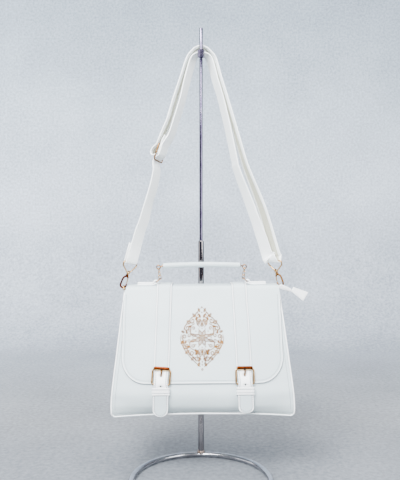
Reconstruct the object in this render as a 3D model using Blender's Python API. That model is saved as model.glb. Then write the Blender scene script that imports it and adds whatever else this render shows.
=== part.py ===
import bpy
import math
from mathutils import Matrix, Vector

for leftover in list(bpy.data.objects):
    bpy.data.objects.remove(leftover, do_unlink=True)

# All lengths below are in millimetres; meshes are written in metres.
MM = 0.001
GAP = 0.3

# Bag: the body hangs slightly turned about a point on its top edge.
BAG_TILT = math.radians(0.47)
BAG_PIVOT_X = 1.1
BAG_PIVOT_Z = 304.3
FLAP_TOP_Z = 305.7
FACING_TOP_Z = 302.6
WALL = 2.0
PIPING_R = 1.2
BOTTOM_Z = 105.5
BOTTOM_LIFT = 3.4
BOTTOM_CORNER_R = 4.5
BACK_Y = -8.3

# Flap
FLAP_THICK = 2.2
FLAP_LIFT = 2.5
FLAP_HALF = 128.0
FLAP_BOTTOM_Z = 156.0
FLAP_CORNER_R = 38.0
FLAP_REAR_Y = -5.8
FLAP_REAR_Z = 262.0
FLAP_DRAWN = 3.6

# Belts
BELT_WIDTH = 25.0
BELT_THICK = 2.4
BELT_TOP_X = 61.4
BELT_SPREAD = {-1: 0.0242, 1: 0.0330}
BELT_SLOT_Z = 167.5
BELT_TIP_Z = {-1: 107.2, 1: 112.3}
BELT_HOLE_Z = {-1: 152.1, 1: 153.5}
BELT_HOLE_R = 1.2

# Buckles
FRAME_X = {-1: 65.0, 1: 66.4}
FRAME_HALF = 14.0
FRAME_PIVOT_Z = 154.8
FRAME_TOP_Z = 177.6
FRAME_TURN = {-1: math.radians(4.0), 1: 0.0}
FRAME_SIDE_R = 1.25
FRAME_PIVOT_R = 1.15
FRAME_TOP_HIGH = 3.2
FRAME_TOP_DEEP = 1.7
PRONG_R = 1.1
PRONG_COIL_R = 0.85
CHAPE_THICK = 1.0
KEEPER_THICK = 1.0
KEEPER_Z = 144.4
KEEPER_HIGH = 11.6

# Handle
HANDLE_Y = -38.5
GRIP_R = 4.5
GRIP_HALF = 65.5
EYE_X = 72.8
EYE_Z = 336.1
EYE_R = 3.2
EYE_WIRE = 0.9
LINK_WIRE = 0.6
LINK_WIDE = 4.4
LINK_CLEAR = 0.4
LINK_TURN = 67.5
TAB_RING_BASE = (76.4, 311.4)
TAB_RING_APEX = (70.3, 317.2)
TAB_RING_WIRE = 0.9
HANDLE_TAB_THICK = 2.2

# Side rings, in the bag's own frame
SIDE_Y = -31.0
D_RING_WIRE = 1.1
D_RING_BASE = (129.8, 292.5)
D_RING_TOP = {-1: (133.0, 305.0), 1: (133.9, 305.2)}
D_RING_HALF = 7.4

# Shoulder strap and slide
STRAP_WIDTH = 24.6
STRAP_THICK = 2.2
SLIDE_CENTRE = (-70.2, 530.8)
SLIDE_RUN = (0.287, 0.958)
SLIDE_SPAN = 14.0
SLIDE_HALF = 14.4
SLIDE_WIRE = 1.1
SLIDE_TWIST = math.radians(24.0)

# Strap rings and snap hooks: bar centre, then apex and outer bottom of the hook as X and Z
RING_BAR = {-1: (-120.2, -31.0, 344.1), 1: (125.0, -34.2, 346.5)}
RING_APEX = {-1: (-124.7, 324.4), 1: (128.3, 327.7)}
HOOK_BOTTOM = {-1: (-135.4, 299.4), 1: (137.6, 302.1)}
RING_ACROSS = {-1: (-0.677, -0.719, 0.153), 1: (0.695, -0.719, 0.0)}
RING_RUN = {-1: (0.22, 0.0, 0.975), 1: (0.0, 0.0, 1.0)}
RING_HALF = 14.4
RING_WIRE = 1.2
BOSS_R = 2.9
POST_R = 0.95
HOOK_R = 1.6
HOOK_HALF = 4.7

# Stand
BASE_RADIUS = 109.5
BASE_TUBE_R = 4.75
BASE_SIDES = 8
TUBE_R = 5.2
TUBE_BORE_R = 3.4
TUBE_TOP_Z = 380.0
TUBE_BORE_DEEP = 60.0
ROD_R = 3.0
ROD_INSERT = 55.0
ARM_Z = 701.0
ARM_Y = -36.0
HOOK_TIP_Z = 742.0
COLLAR_R = 6.0
COLLAR_Z = (691.3, 704.9)

# Height, reach of the front at the middle, how far its side edges fall back
FRONT_SHAPE = (
    (320.0, 56.5, 1.0),
    (296.0, 65.5, 1.5),
    (260.0, 79.0, 3.5),
    (220.0, 92.0, 5.0),
    (190.0, 102.0, 6.5),
    (157.0, 112.0, 7.7),
    (135.0, 116.8, 7.8),
    (122.0, 115.2, 4.0),
    (112.5, 109.5, -2.2),
    (106.6, 101.5, -8.5),
    (103.0, 97.0, -11.0),
)

# Height, half width of the bag
SIDE_SHAPE = (
    (320.0, 126.2),
    (304.3, 128.0),
    (298.0, 128.7),
    (186.0, 139.8),
    (152.7, 143.2),
    (122.0, 145.3),
    (103.0, 144.7),
)


def material(name, colour, metallic, roughness):
    made = bpy.data.materials.new(name)
    made.use_nodes = True
    shader = made.node_tree.nodes["Principled BSDF"]
    shader.inputs["Base Color"].default_value = (*colour, 1.0)
    shader.inputs["Metallic"].default_value = metallic
    shader.inputs["Roughness"].default_value = roughness
    return made


def smooth_lookup(table, height, column):
    """Value of a column at a height, by cubic interpolation that never overshoots."""
    rows = sorted((row[0], row[column]) for row in table)
    height = min(max(height, rows[0][0]), rows[-1][0])
    steps = [(b[1] - a[1]) / (b[0] - a[0]) for a, b in zip(rows, rows[1:])]
    slopes = [steps[0]]
    for before, after in zip(steps, steps[1:]):
        same_way = before * after > 0
        slopes.append(2.0 * before * after / (before + after) if same_way else 0.0)
    slopes.append(steps[-1])
    for i in range(len(steps)):
        if height <= rows[i + 1][0]:
            span = rows[i + 1][0] - rows[i][0]
            t = (height - rows[i][0]) / span
            rise = t * t * (3 - 2 * t)
            start = rows[i][1] * (1 - rise) + rows[i + 1][1] * rise
            bend = slopes[i] * t * (1 - t) ** 2 - slopes[i + 1] * t * t * (1 - t)
            return start + bend * span
    return rows[-1][1]


def half_width(z):
    return smooth_lookup(SIDE_SHAPE, z, 1)


def front_reach(x, z):
    share = min(abs(x) / half_width(z), 1.0)
    power = 4 if z > 118 else 2
    return smooth_lookup(FRONT_SHAPE, z, 1) - smooth_lookup(FRONT_SHAPE, z, 2) * share ** power


def front_point(x, z, off=0.0):
    """Point on the bag's front, moved outward along the surface normal."""
    base = Vector((x, -front_reach(x, z), z))
    along_x = Vector((1.0, -front_reach(x + 0.5, z) + front_reach(x - 0.5, z), 0.0))
    along_z = Vector((0.0, -front_reach(x, z + 0.5) + front_reach(x, z - 0.5), 1.0))
    return base + along_x.cross(along_z).normalized() * off


def tilt(point):
    """From the bag's own frame to the stand's."""
    rise = point.z - BAG_PIVOT_Z
    return Vector((
        BAG_PIVOT_X + point.x * math.cos(BAG_TILT) - rise * math.sin(BAG_TILT),
        point.y,
        BAG_PIVOT_Z + rise * math.cos(BAG_TILT) + point.x * math.sin(BAG_TILT),
    ))


def build(name, look, points, faces, on_bag=False):
    placed = [tilt(p) if on_bag else p for p in points]
    mesh = bpy.data.meshes.new(name)
    mesh.from_pydata([p * MM for p in placed], [], faces)
    mesh.update()
    volume = 0.0
    for face in faces:
        for b, c in zip(face[1:], face[2:]):
            volume += placed[face[0]].dot(placed[b].cross(placed[c]))
    if volume < 0:
        mesh.flip_normals()
    if look:
        mesh.materials.append(look)
    made = bpy.data.objects.new(name, mesh)
    bpy.context.scene.collection.objects.link(made)
    return made


def fillet(points, radii, steps=4, closed=False):
    """Polyline with its corners turned to arcs; radius 0 keeps a corner."""
    rounded = []
    count = len(points)
    for i, (p, r) in enumerate(zip(points, radii)):
        if r == 0 or (not closed and i in (0, count - 1)):
            rounded.append(p)
            continue
        a = (points[i - 1] - p).normalized()
        b = (points[(i + 1) % count] - p).normalized()
        half = a.angle(b) / 2
        centre = p + (a + b).normalized() * (r / math.sin(half))
        start = p + a * (r / math.tan(half)) - centre
        end = p + b * (r / math.tan(half)) - centre
        for k in range(steps + 1):
            rounded.append(centre + start.slerp(end, k / steps).normalized() * r)
    return rounded


def spline(points, per_span):
    """Catmull-Rom curve through the points."""
    curve = []
    ends = [points[0] * 2 - points[1]] + list(points) + [points[-1] * 2 - points[-2]]
    for a, b, c, d, count in zip(ends, ends[1:], ends[2:], ends[3:], per_span):
        for k in range(count):
            t = k / count
            curve.append(0.5 * (2 * b + (c - a) * t + (2 * a - 5 * b + 4 * c - d) * t * t
                                + (3 * b - a - 3 * c + d) * t ** 3))
    curve.append(points[-1])
    return curve


def tangents(points, closed):
    count = len(points)
    found = []
    for i in range(count):
        after = points[(i + 1) % count] if closed else points[min(i + 1, count - 1)]
        before = points[i - 1] if closed else points[max(i - 1, 0)]
        found.append((after - before).normalized())
    return found


def skin(name, look, rings, closed, on_bag):
    """Closed body from matching rings of points."""
    size = len(rings[0])
    points = [p for ring in rings for p in ring]
    faces = []
    spans = len(rings) if closed else len(rings) - 1
    for i in range(spans):
        j = (i + 1) % len(rings)
        for k in range(size):
            m = (k + 1) % size
            faces.append((i * size + k, j * size + k, j * size + m, i * size + m))
    if not closed:
        faces.append(tuple(range(size)))
        last = (len(rings) - 1) * size
        faces.append(tuple(last + k for k in reversed(range(size))))
    return build(name, look, points, faces, on_bag)


def as_list(value, count):
    return list(value) if isinstance(value, (list, tuple)) else [value] * count


def rod(name, look, points, radius, ref, closed=False, sides=8, on_bag=False, depth=None):
    """Round or oval section swept along points; ref is a direction the path never follows."""
    radii = as_list(radius, len(points))
    depths = depth or radii
    rings = []
    for p, t, r, d in zip(points, tangents(points, closed), radii, depths):
        side = t.cross(ref).normalized()
        up = side.cross(t)
        turns = [2 * math.pi * (k + 0.5) / sides for k in range(sides)]
        rings.append([p + side * (r * math.cos(a)) + up * (d * math.sin(a)) for a in turns])
    return skin(name, look, rings, closed, on_bag)


def strip(name, look, points, across, width, thick, closed=False, on_bag=False):
    """Flat section swept along points; across gives the direction of the width."""
    widths = as_list(width, len(points))
    thicks = as_list(thick, len(points))
    directions = across if isinstance(across, list) else [across] * len(points)
    rings = []
    for p, t, a, w, h in zip(points, tangents(points, closed), directions, widths, thicks):
        flat = (a - t * a.dot(t)).normalized() * (w / 2)
        up = t.cross(flat).normalized() * (h / 2)
        rings.append([p + flat + up, p - flat + up, p - flat - up, p + flat - up])
    return skin(name, look, rings, closed, on_bag)


def slab(name, look, outer, inner, on_bag=True):
    """Closed sheet between two matching grids of points."""
    rows = len(outer)
    cols = len(outer[0])
    far = rows * cols
    points = [p for row in outer for p in row] + [p for row in inner for p in row]
    faces = []
    for r in range(rows - 1):
        for c in range(cols - 1):
            a = r * cols + c
            faces.append((a, a + 1, a + cols + 1, a + cols))
            faces.append((far + a, far + a + cols, far + a + cols + 1, far + a + 1))
    rim = [c for c in range(cols - 1)]
    rim += [r * cols + cols - 1 for r in range(rows - 1)]
    rim += [(rows - 1) * cols + c for c in range(cols - 1, 0, -1)]
    rim += [r * cols for r in range(rows - 1, 0, -1)]
    for a, b in zip(rim, rim[1:] + rim[:1]):
        faces.append((b, a, far + a, far + b))
    return build(name, look, points, faces, on_bag)


def shifted(grid, distance):
    """Grid moved along its own normals."""
    rows = len(grid)
    cols = len(grid[0])
    moved = []
    for r in range(rows):
        line = []
        for c in range(cols):
            down = grid[min(r + 1, rows - 1)][c] - grid[max(r - 1, 0)][c]
            right = grid[r][min(c + 1, cols - 1)] - grid[r][max(c - 1, 0)]
            line.append(grid[r][c] + right.cross(down).normalized() * distance)
        moved.append(line)
    return moved


def turned(name, look, profile, foot, axis, sides=12, on_bag=False):
    """Profile of (radius, height) turned about an axis; it touches the axis at both ends or is a ring."""
    axis = Vector(axis).normalized()
    side = axis.orthogonal().normalized()
    other = axis.cross(side)
    foot = Vector(foot)
    pointed = profile[0][0] == 0
    body = profile[1:-1] if pointed else profile
    points = []
    for radius, height in body:
        for k in range(sides):
            a = 2 * math.pi * (k + 0.5) / sides
            points.append(foot + axis * height + (side * math.cos(a) + other * math.sin(a)) * radius)
    faces = []
    levels = len(body) - 1 if pointed else len(body)
    for i in range(levels):
        j = (i + 1) % len(body)
        for k in range(sides):
            m = (k + 1) % sides
            faces.append((i * sides + k, i * sides + m, j * sides + m, j * sides + k))
    if pointed:
        faces.append(tuple(reversed(range(sides))))
        faces.append(tuple((len(body) - 1) * sides + k for k in range(sides)))
    return build(name, look, points, faces, on_bag)


def cylinder(name, look, radius, start, end, sides=12, on_bag=False):
    run = Vector(end) - Vector(start)
    profile = ((0, 0), (radius, 0), (radius, run.length), (0, run.length))
    return turned(name, look, profile, start, run, sides, on_bag)


def combine(target, tool, operation):
    step = target.modifiers.new(tool.name, "BOOLEAN")
    step.operation = operation
    step.solver = "EXACT"
    step.object = tool
    tool.hide_render = True
    tool.display_type = "WIRE"


def set_origin(piece, point):
    piece.data.transform(Matrix.Translation(point * -MM))
    piece.location = point * MM


def fuse(target, tool):
    combine(target, tool, "UNION")


def cut(target, tool):
    combine(target, tool, "DIFFERENCE")


LEATHER = material("white_leather", (0.83, 0.85, 0.86), 0.0, 0.5)
STRAP_LEATHER = material("strap_leather", (0.83, 0.85, 0.86), 0.0, 0.5)
TAPE = material("zip_fabric", (0.75, 0.76, 0.76), 0.0, 0.8)
GOLD = material("rose_gold", (0.80, 0.55, 0.38), 1.0, 0.25)
CHROME = material("chrome", (0.75, 0.75, 0.78), 1.0, 0.12)

ACROSS = Vector((1.0, 0.0, 0.0))
BACKWARD = Vector((0.0, 1.0, 0.0))
UP = Vector((0.0, 0.0, 1.0))
SIDES = (("left", -1), ("right", 1))


def bottom_corner(z):
    """How far the outline draws in near the bottom corners."""
    left = BOTTOM_CORNER_R - (z - BOTTOM_Z)
    if left <= 0:
        return 0.0
    left = min(left, BOTTOM_CORNER_R)
    return BOTTOM_CORNER_R - math.sqrt(BOTTOM_CORNER_R ** 2 - left ** 2)


def lift(share, z):
    """Rise of the bottom edge toward the middle."""
    fade = max(0.0, 1.0 - (z - BOTTOM_Z) / 25.0)
    return BOTTOM_LIFT * (1 - share ** 2) * fade ** 2


PANEL_ROWS = (275.0, 240.0, 205.0, 172.0, 147.0, 133.0, 124.0, 117.0, 111.0, 107.5, BOTTOM_Z)
PANEL_SHARES = [math.sin(math.pi / 2 * k / 5) for k in range(-5, 6)]


def panel_half(z):
    return half_width(z) - 2.9 - bottom_corner(z)


def front_panel_column(share):
    x = share * panel_half(FACING_TOP_Z)
    reach = front_reach(x, FACING_TOP_Z)
    corners = [Vector((x, -50.3, FACING_TOP_Z)), Vector((x, -reach, FACING_TOP_Z))]
    for z in PANEL_ROWS:
        x = share * panel_half(z)
        height = z + lift(share, z)
        corners.append(Vector((x, -front_reach(x, height), height)))
    return fillet(corners, [0, 7.0] + [0] * len(PANEL_ROWS), 3)


columns = [front_panel_column(share) for share in PANEL_SHARES]
outer = [list(row) for row in zip(*columns)]
slab("front_panel", LEATHER, outer, shifted(outer, WALL))

BACK_ROWS = (260.0, 200.0, 150.0, 120.0, 111.0, 107.5, BOTTOM_Z)
BACK_SHARES = (-1.0, -0.8, -0.4, 0.0, 0.4, 0.8, 1.0)


def back_panel_column(share):
    x = share * panel_half(FACING_TOP_Z)
    corners = [Vector((x, -23.7, FACING_TOP_Z)), Vector((x, BACK_Y, FACING_TOP_Z))]
    corners += [Vector((share * panel_half(z), BACK_Y, z)) for z in BACK_ROWS]
    return fillet(corners, [0, 4.0] + [0] * len(BACK_ROWS), 3)


columns = [back_panel_column(share) for share in BACK_SHARES]
outer = [list(row) for row in zip(*columns)]
slab("back_panel", LEATHER, outer, shifted(outer, -WALL))

GUSSET_ROWS = (299.9, 265.0, 225.0, 180.0, 140.0, 115.0, 109.5, 105.7)
GUSSET_SPANS = 5


def gusset_point(side, z, part, deep):
    """part runs from the front edge to the back edge; deep is the distance in from the outer face."""
    edge = half_width(z) - 0.6 - bottom_corner(z)
    front = -front_reach(edge, z) + 3.0 + max(0.0, 125.0 - z) * 0.06
    back = BACK_Y - WALL - 0.9
    drawn = 4.0 * max(0.0, (z - 150.0) / 148.5) * math.sin(math.pi * part)
    x = edge - drawn
    normal_x = 1.0
    if z < BOTTOM_Z + BOTTOM_CORNER_R:
        normal_x = max(0.0, (z - BOTTOM_Z) / BOTTOM_CORNER_R)
    normal_z = math.sqrt(1 - normal_x ** 2)
    return Vector((side * (x - deep * normal_x), front + (back - front) * part, z + deep * normal_z))


for name, side in SIDES:
    parts = [k / GUSSET_SPANS for k in range(GUSSET_SPANS + 1)]
    outer = [[gusset_point(side, z, part, 0.0) for part in parts] for z in GUSSET_ROWS]
    inner = [[gusset_point(side, z, part, WALL) for part in parts] for z in GUSSET_ROWS]
    slab(f"gusset_{name}", LEATHER, outer, inner)

base_half = panel_half(BOTTOM_Z) - 1.2
outer = []
inner = []
for k in range(4):
    part = k / 3
    outer_row = []
    inner_row = []
    for share in (-1.0, -0.5, 0.0, 0.5, 1.0):
        x = share * base_half
        z = BOTTOM_Z + lift(share, BOTTOM_Z)
        front = -front_reach(x, z) + 1.2
        y = front + (BACK_Y - 2.9 - front) * part
        low = z + (BOTTOM_Z - z) * part - WALL - GAP
        outer_row.append(Vector((x, y, low)))
        inner_row.append(Vector((x, y, low + WALL)))
    outer.append(outer_row)
    inner.append(inner_row)
slab("base_panel", LEATHER, outer, inner)


def seam_path(y_of, top, rise):
    """Cord line just outside the panel's edge: down the left side, along the bottom, up the right."""
    right_side = []
    out = PIPING_R + 0.4
    for z in (top, 250.0, 205.0, 165.0, 135.0, 120.0, BOTTOM_Z + BOTTOM_CORNER_R):
        x = panel_half(z) + out
        right_side.append((x, z))
    corner_x = panel_half(BOTTOM_Z + BOTTOM_CORNER_R) - BOTTOM_CORNER_R
    for turn in (30.0, 60.0, 90.0):
        a = math.radians(turn)
        reach = BOTTOM_CORNER_R + out
        x = corner_x + reach * math.cos(a)
        z = BOTTOM_Z + BOTTOM_CORNER_R - reach * math.sin(a)
        right_side.append((x, z))
    bottom = [(corner_x * share, BOTTOM_Z - out + rise * (1 - share ** 2)) for share in (0.75, 0.5, 0.25)]
    half = right_side + bottom
    whole = [(-x, z) for x, z in half] + [(0.0, BOTTOM_Z - out + rise)] + half[::-1]
    return [Vector((x, y_of(x, z), z)) for x, z in whole]


def front_seam_y(x, z):
    edge = min(abs(x), panel_half(max(z, BOTTOM_Z)))
    height = max(z, BOTTOM_Z + lift(edge / panel_half(BOTTOM_Z), BOTTOM_Z))
    tucked = min(max((z - 240.0) / 30.0, 0.0), 1.0)
    return -front_reach(edge, height) - (0.3 if z > 116 else 0.9) + 1.8 * tucked


path = seam_path(front_seam_y, 295.4, BOTTOM_LIFT)
rod("front_piping", LEATHER, path, PIPING_R, BACKWARD, sides=6, on_bag=True)
path = seam_path(lambda x, z: BACK_Y - PIPING_R, 297.4, 0.0)
rod("back_piping", LEATHER, path, PIPING_R, BACKWARD, sides=6, on_bag=True)

FLAP_ROWS = (280.0, 258.0, 236.0, 214.0, 194.0, 182.0, 172.0, 164.5, 159.5, 156.8, FLAP_BOTTOM_Z)
FLAP_SHARES = [math.sin(math.pi / 2 * k / 5) for k in range(-5, 6)]


def flap_half(z):
    drop = FLAP_BOTTOM_Z + FLAP_CORNER_R - z
    if drop <= 0:
        return FLAP_HALF
    drop = min(drop, FLAP_CORNER_R)
    return FLAP_HALF - FLAP_CORNER_R + math.sqrt(FLAP_CORNER_R ** 2 - drop ** 2)


def flap_x(share, z):
    """Place across the flap, whose left edge draws in near the top."""
    drawn = FLAP_DRAWN * min(max((z - 283.0) / 15.0, 0.0), 1.0) if share < 0 else 0.0
    return share * (flap_half(z) - drawn)


def over_bag(x_at, off, rows, offs, start_z=FLAP_REAR_Z):
    """Line from the rear, over the top and down the front, off millimetres outside the flap."""
    x = x_at(FLAP_TOP_Z)
    top = FLAP_TOP_Z + off
    corners = [Vector((x, FLAP_REAR_Y + off, start_z)), Vector((x, FLAP_REAR_Y + off, top))]
    head = front_point(x, 298.0, FLAP_LIFT + off)
    low = front_point(x, 290.0, FLAP_LIFT + off)
    lean = (low.y - head.y) / (low.z - head.z)
    corners.append(Vector((x, head.y + lean * (top - head.z), top)))
    for z, d in zip(rows, offs):
        corners.append(front_point(x_at(z), z, FLAP_LIFT + d))
    return fillet(corners, [0, 6.0 + off, 8.0 + off] + [0] * len(rows), 4)


columns = []
for share in FLAP_SHARES:
    columns.append(over_bag(lambda z: flap_x(share, z), 0.0, FLAP_ROWS, [0.0] * len(FLAP_ROWS)))
outer = [list(row) for row in zip(*columns)]
slab("flap", LEATHER, outer, shifted(outer, FLAP_THICK))

# Zip: the band under the flap, rolled to a stem at its right end
ZIP_STATIONS = (
    # x, y, z, width, thickness
    (-122.0, -37.0, 301.6, 25.4, 1.6),
    (0.0, -37.0, 301.6, 25.4, 1.6),
    (117.0, -37.0, 301.6, 25.4, 1.6),
    (122.0, -41.0, 301.6, 14.0, 1.6),
    (125.5, -46.0, 301.7, 5.0, 1.8),
    (129.4, -48.0, 301.8, 4.0, 2.0),
    (130.8, -48.0, 301.9, 4.0, 7.0),
    (133.0, -48.0, 301.9, 4.0, 8.0),
    (141.0, -48.0, 299.4, 4.0, 7.0),
    (147.0, -48.0, 296.9, 4.0, 5.5),
    (149.4, -48.0, 295.8, 3.6, 4.6),
)
points = [Vector(row[:3]) for row in ZIP_STATIONS]
widths = [row[3] for row in ZIP_STATIONS]
thicks = [row[4] for row in ZIP_STATIONS]
strip("zip_tape", TAPE, points, BACKWARD, widths, thicks, on_bag=True)
start = Vector((151.8, -48.0, 298.0))
end = Vector((174.3, -48.0, 284.9))
points = [start.lerp(end, part) for part in (0.0, 0.06, 0.5, 0.94, 1.0)]
strip("zip_end_tab", LEATHER, points, BACKWARD, 3.0, [8.2, 9.7, 13.4, 17.0, 15.4])

# Height, distance of the belt's middle from the flap's face
BELT_LINE = (
    (320.0, 1.5),
    (184.5, 1.5),
    (176.5, 1.6),
    (172.0, 2.7),
    (168.0, 4.4),
    (162.5, 6.5),
    (157.0, 7.2),
    (153.0, 7.0),
    (150.0, 5.2),
    (147.0, 3.4),
    (138.0, 2.8),
    (100.0, 2.8),
)


def belt_x(side, z):
    return side * (BELT_TOP_X + BELT_SPREAD[side] * (FLAP_TOP_Z - z))


def belt_front(side, z, off):
    """Point over a belt's line; below the fullest part of the bag it hangs straight."""
    held = max(z, 134.0)
    point = front_point(belt_x(side, held), held, FLAP_LIFT + off)
    return point + Vector((belt_x(side, z) - belt_x(side, held), 0.0, z - held))


for name, side in SIDES:
    tip = BELT_TIP_Z[side]
    rows = [280.0, 250.0, 220.0, 195.0, 184.5, 180.0, 175.0, 171.0, 165.0, 161.0, 157.0, 153.5]
    rows += [150.0, 146.0, 141.0, 135.0, 128.0, tip + 9.0, tip + 4.5, tip + 1.6, tip]
    offs = [smooth_lookup(BELT_LINE, z, 1) for z in rows]
    path = over_bag(lambda z: belt_x(side, z), 1.5, rows[:-7], offs[:-7], 264.0)
    path += [belt_front(side, z, d) for z, d in zip(rows[-7:], offs[-7:])]
    widths = [BELT_WIDTH] * (len(path) - 18)
    widths += [24.6, 23.4, 22.2, 21.4, 21.2, 21.6, 22.6, 23.6, 24.4, 24.5, 24.5, 24.5, 24.5, 24.5]
    widths += [23.6, 19.0, 12.0, 6.0]
    belt = strip(f"belt_{name}", LEATHER, path, ACROSS, widths, BELT_THICK, on_bag=True)
    slot = belt_front(side, BELT_SLOT_Z, 0.0)
    out = (belt_front(side, BELT_SLOT_Z, 10.0) - slot).normalized()
    corners = [slot + out * 1.5, slot + out * 10.0]
    cutter = strip(f"slot_cutter_{name}", None, corners, ACROSS, 3.2, 7.2, on_bag=True)
    cut(belt, cutter)
    hole = belt_front(side, BELT_HOLE_Z[side], smooth_lookup(BELT_LINE, BELT_HOLE_Z[side], 1))
    hole_start = hole - BACKWARD * 3
    hole_end = hole + BACKWARD * 3
    hole_cutter = cylinder(f"hole_cutter_{name}", None, BELT_HOLE_R, hole_start, hole_end, 8, True)
    cut(belt, hole_cutter)

    # Buckle frame: a bent loop whose lower bar carries the chape and the prong
    pivot = belt_front(side, FRAME_PIVOT_Z, 2.95)
    head = belt_front(side, FRAME_TOP_Z, 3.1 + FRAME_TOP_DEEP)
    pivot.x = head.x = side * FRAME_X[side]
    rise = head - pivot
    tall = rise.length
    straight = rise.normalized()
    outward = ACROSS.cross(straight)
    lean = FRAME_TURN[side]
    sideways = ACROSS * math.cos(lean) - straight * math.sin(lean)
    upward = straight * math.cos(lean) + ACROSS * math.sin(lean)
    mid = pivot + rise * 0.5
    pivot = mid - upward * (tall / 2)
    head = mid + upward * (tall / 2)
    outline = (
        # across, height above the middle, corner radius
        (-FRAME_HALF, -0.5, 2.6),
        (-FRAME_HALF, 0.36, 3.0),
        (-10.4, 0.5, 2.0),
        (10.4, 0.5, 2.0),
        (FRAME_HALF, 0.36, 3.0),
        (FRAME_HALF, -0.5, 2.6),
    )
    corners = [mid + sideways * a + upward * (b * tall) for a, b, r in outline]
    loop = fillet(corners, [r for a, b, r in outline], 2, closed=True)
    radii = []
    depths = []
    for p in loop:
        level = (p - mid).dot(upward) / tall
        aside = abs((p - mid).dot(sideways))
        if level > 0.46:
            radii.append(FRAME_TOP_HIGH if aside < 10.2 else 2.3)
            depths.append(FRAME_TOP_DEEP)
        elif level < -0.45:
            radii.append(FRAME_PIVOT_R)
            depths.append(FRAME_PIVOT_R)
        else:
            radii.append(FRAME_SIDE_R)
            depths.append(FRAME_SIDE_R)
    rod(f"buckle_frame_{name}", GOLD, loop, radii, outward, closed=True, sides=8, on_bag=True, depth=depths)

    # Prong: coiled round the pivot bar, out through the belt's slot, resting on the top bar
    top_rest = head + outward * (FRAME_TOP_DEEP + PRONG_R + 0.15)
    coil = PRONG_COIL_R + FRAME_PIVOT_R + 0.25
    stations = [
        pivot + outward * coil * 0.1 - upward * coil,
        pivot - upward * coil * 0.7 - outward * coil * 0.7,
        pivot - outward * coil,
        pivot - outward * coil * 0.75 + upward * coil * 0.7,
        pivot - outward * coil * 0.1 + upward * 3.4,
        belt_front(side, 162.2, 2.9),
        belt_front(side, 166.2, 4.5),
        belt_front(side, 169.4, 6.9),
        belt_front(side, 173.2, 7.8),
        top_rest - upward * 1.6,
        top_rest + upward * 0.6,
    ]
    for p in stations:
        p.x = pivot.x + (head.x - pivot.x) * (p.z - pivot.z) / (head.z - pivot.z)
    path = stations
    radii = [PRONG_COIL_R] * 5 + [PRONG_R] * (len(path) - 6) + [0.8]
    rod(f"buckle_prong_{name}", GOLD, path, radii, ACROSS, sides=6, on_bag=True)

    # Chape: leather folded round the pivot bar, its two layers in the keeper
    bend = FRAME_PIVOT_R + 0.3 + CHAPE_THICK / 2
    corners = [belt_front(side, 141.0, 0.6), belt_front(side, 147.5, 0.6)]
    corners.append(pivot + outward * bend - upward * 1.0)
    turn_points = []
    for degrees in (0, 45, 90, 135, 180):
        a = math.radians(degrees)
        turn_points.append(pivot + outward * (bend * math.cos(a)) + upward * (bend * math.sin(a)))
    back = [pivot - outward * bend - upward * 1.0]
    back += [belt_front(side, 147.5, -0.5), belt_front(side, 141.0, -0.5)]
    path = corners + turn_points + back
    for p in path:
        p.x = pivot.x
    leans = [ACROSS] * 2 + [sideways] * 7 + [ACROSS] * 2
    chape = strip(f"chape_{name}", LEATHER, path, leans, 20.0, CHAPE_THICK, on_bag=True)
    low = pivot - upward * 3.2
    high = pivot + upward * 4.0
    cut(chape, strip(f"chape_cutter_{name}", None, [low, high], sideways, 3.4, 12.0, on_bag=True))

    # Keeper: a leather loop round the chape and the belt
    inner_half = BELT_WIDTH / 2 + 0.4
    rear = belt_front(side, KEEPER_Z, -1.75)
    front = belt_front(side, KEEPER_Z, 6.6)
    rear.x = front.x = belt_x(side, KEEPER_Z)
    wide = ACROSS * (inner_half + KEEPER_THICK / 2)
    corners = [rear - wide, front - wide, front + wide, rear + wide]
    loop = fillet(corners, [1.6] * 4, 2, closed=True)
    rear_lean = belt_front(side, KEEPER_Z + 6.0, 0.0) - belt_front(side, KEEPER_Z - 6.0, 0.0)
    front_lean = belt_front(side, KEEPER_Z + 6.0, 3.2) - belt_front(side, KEEPER_Z - 6.0, 0.0)
    rear_lean.x = front_lean.x = 0.0
    leans = []
    for p in loop:
        part = (p.y - rear.y) / (front.y - rear.y)
        leans.append(rear_lean.lerp(front_lean, part))
    strip(f"keeper_{name}", LEATHER, loop, leans, KEEPER_HIGH, KEEPER_THICK, closed=True, on_bag=True)

# Handle
stations = [-1.0, -0.97, -0.8, -0.5, 0.0, 0.5, 0.8, 0.97, 1.0]
path = [Vector((GRIP_HALF * s, HANDLE_Y, 338.2 + 1.8 * (1 - s * s))) for s in stations]
radii = [GRIP_R - 0.9] + [GRIP_R] * (len(path) - 2) + [GRIP_R - 0.9]
grip = rod("handle_grip", LEATHER, path, radii, BACKWARD, sides=10, on_bag=True)

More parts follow.
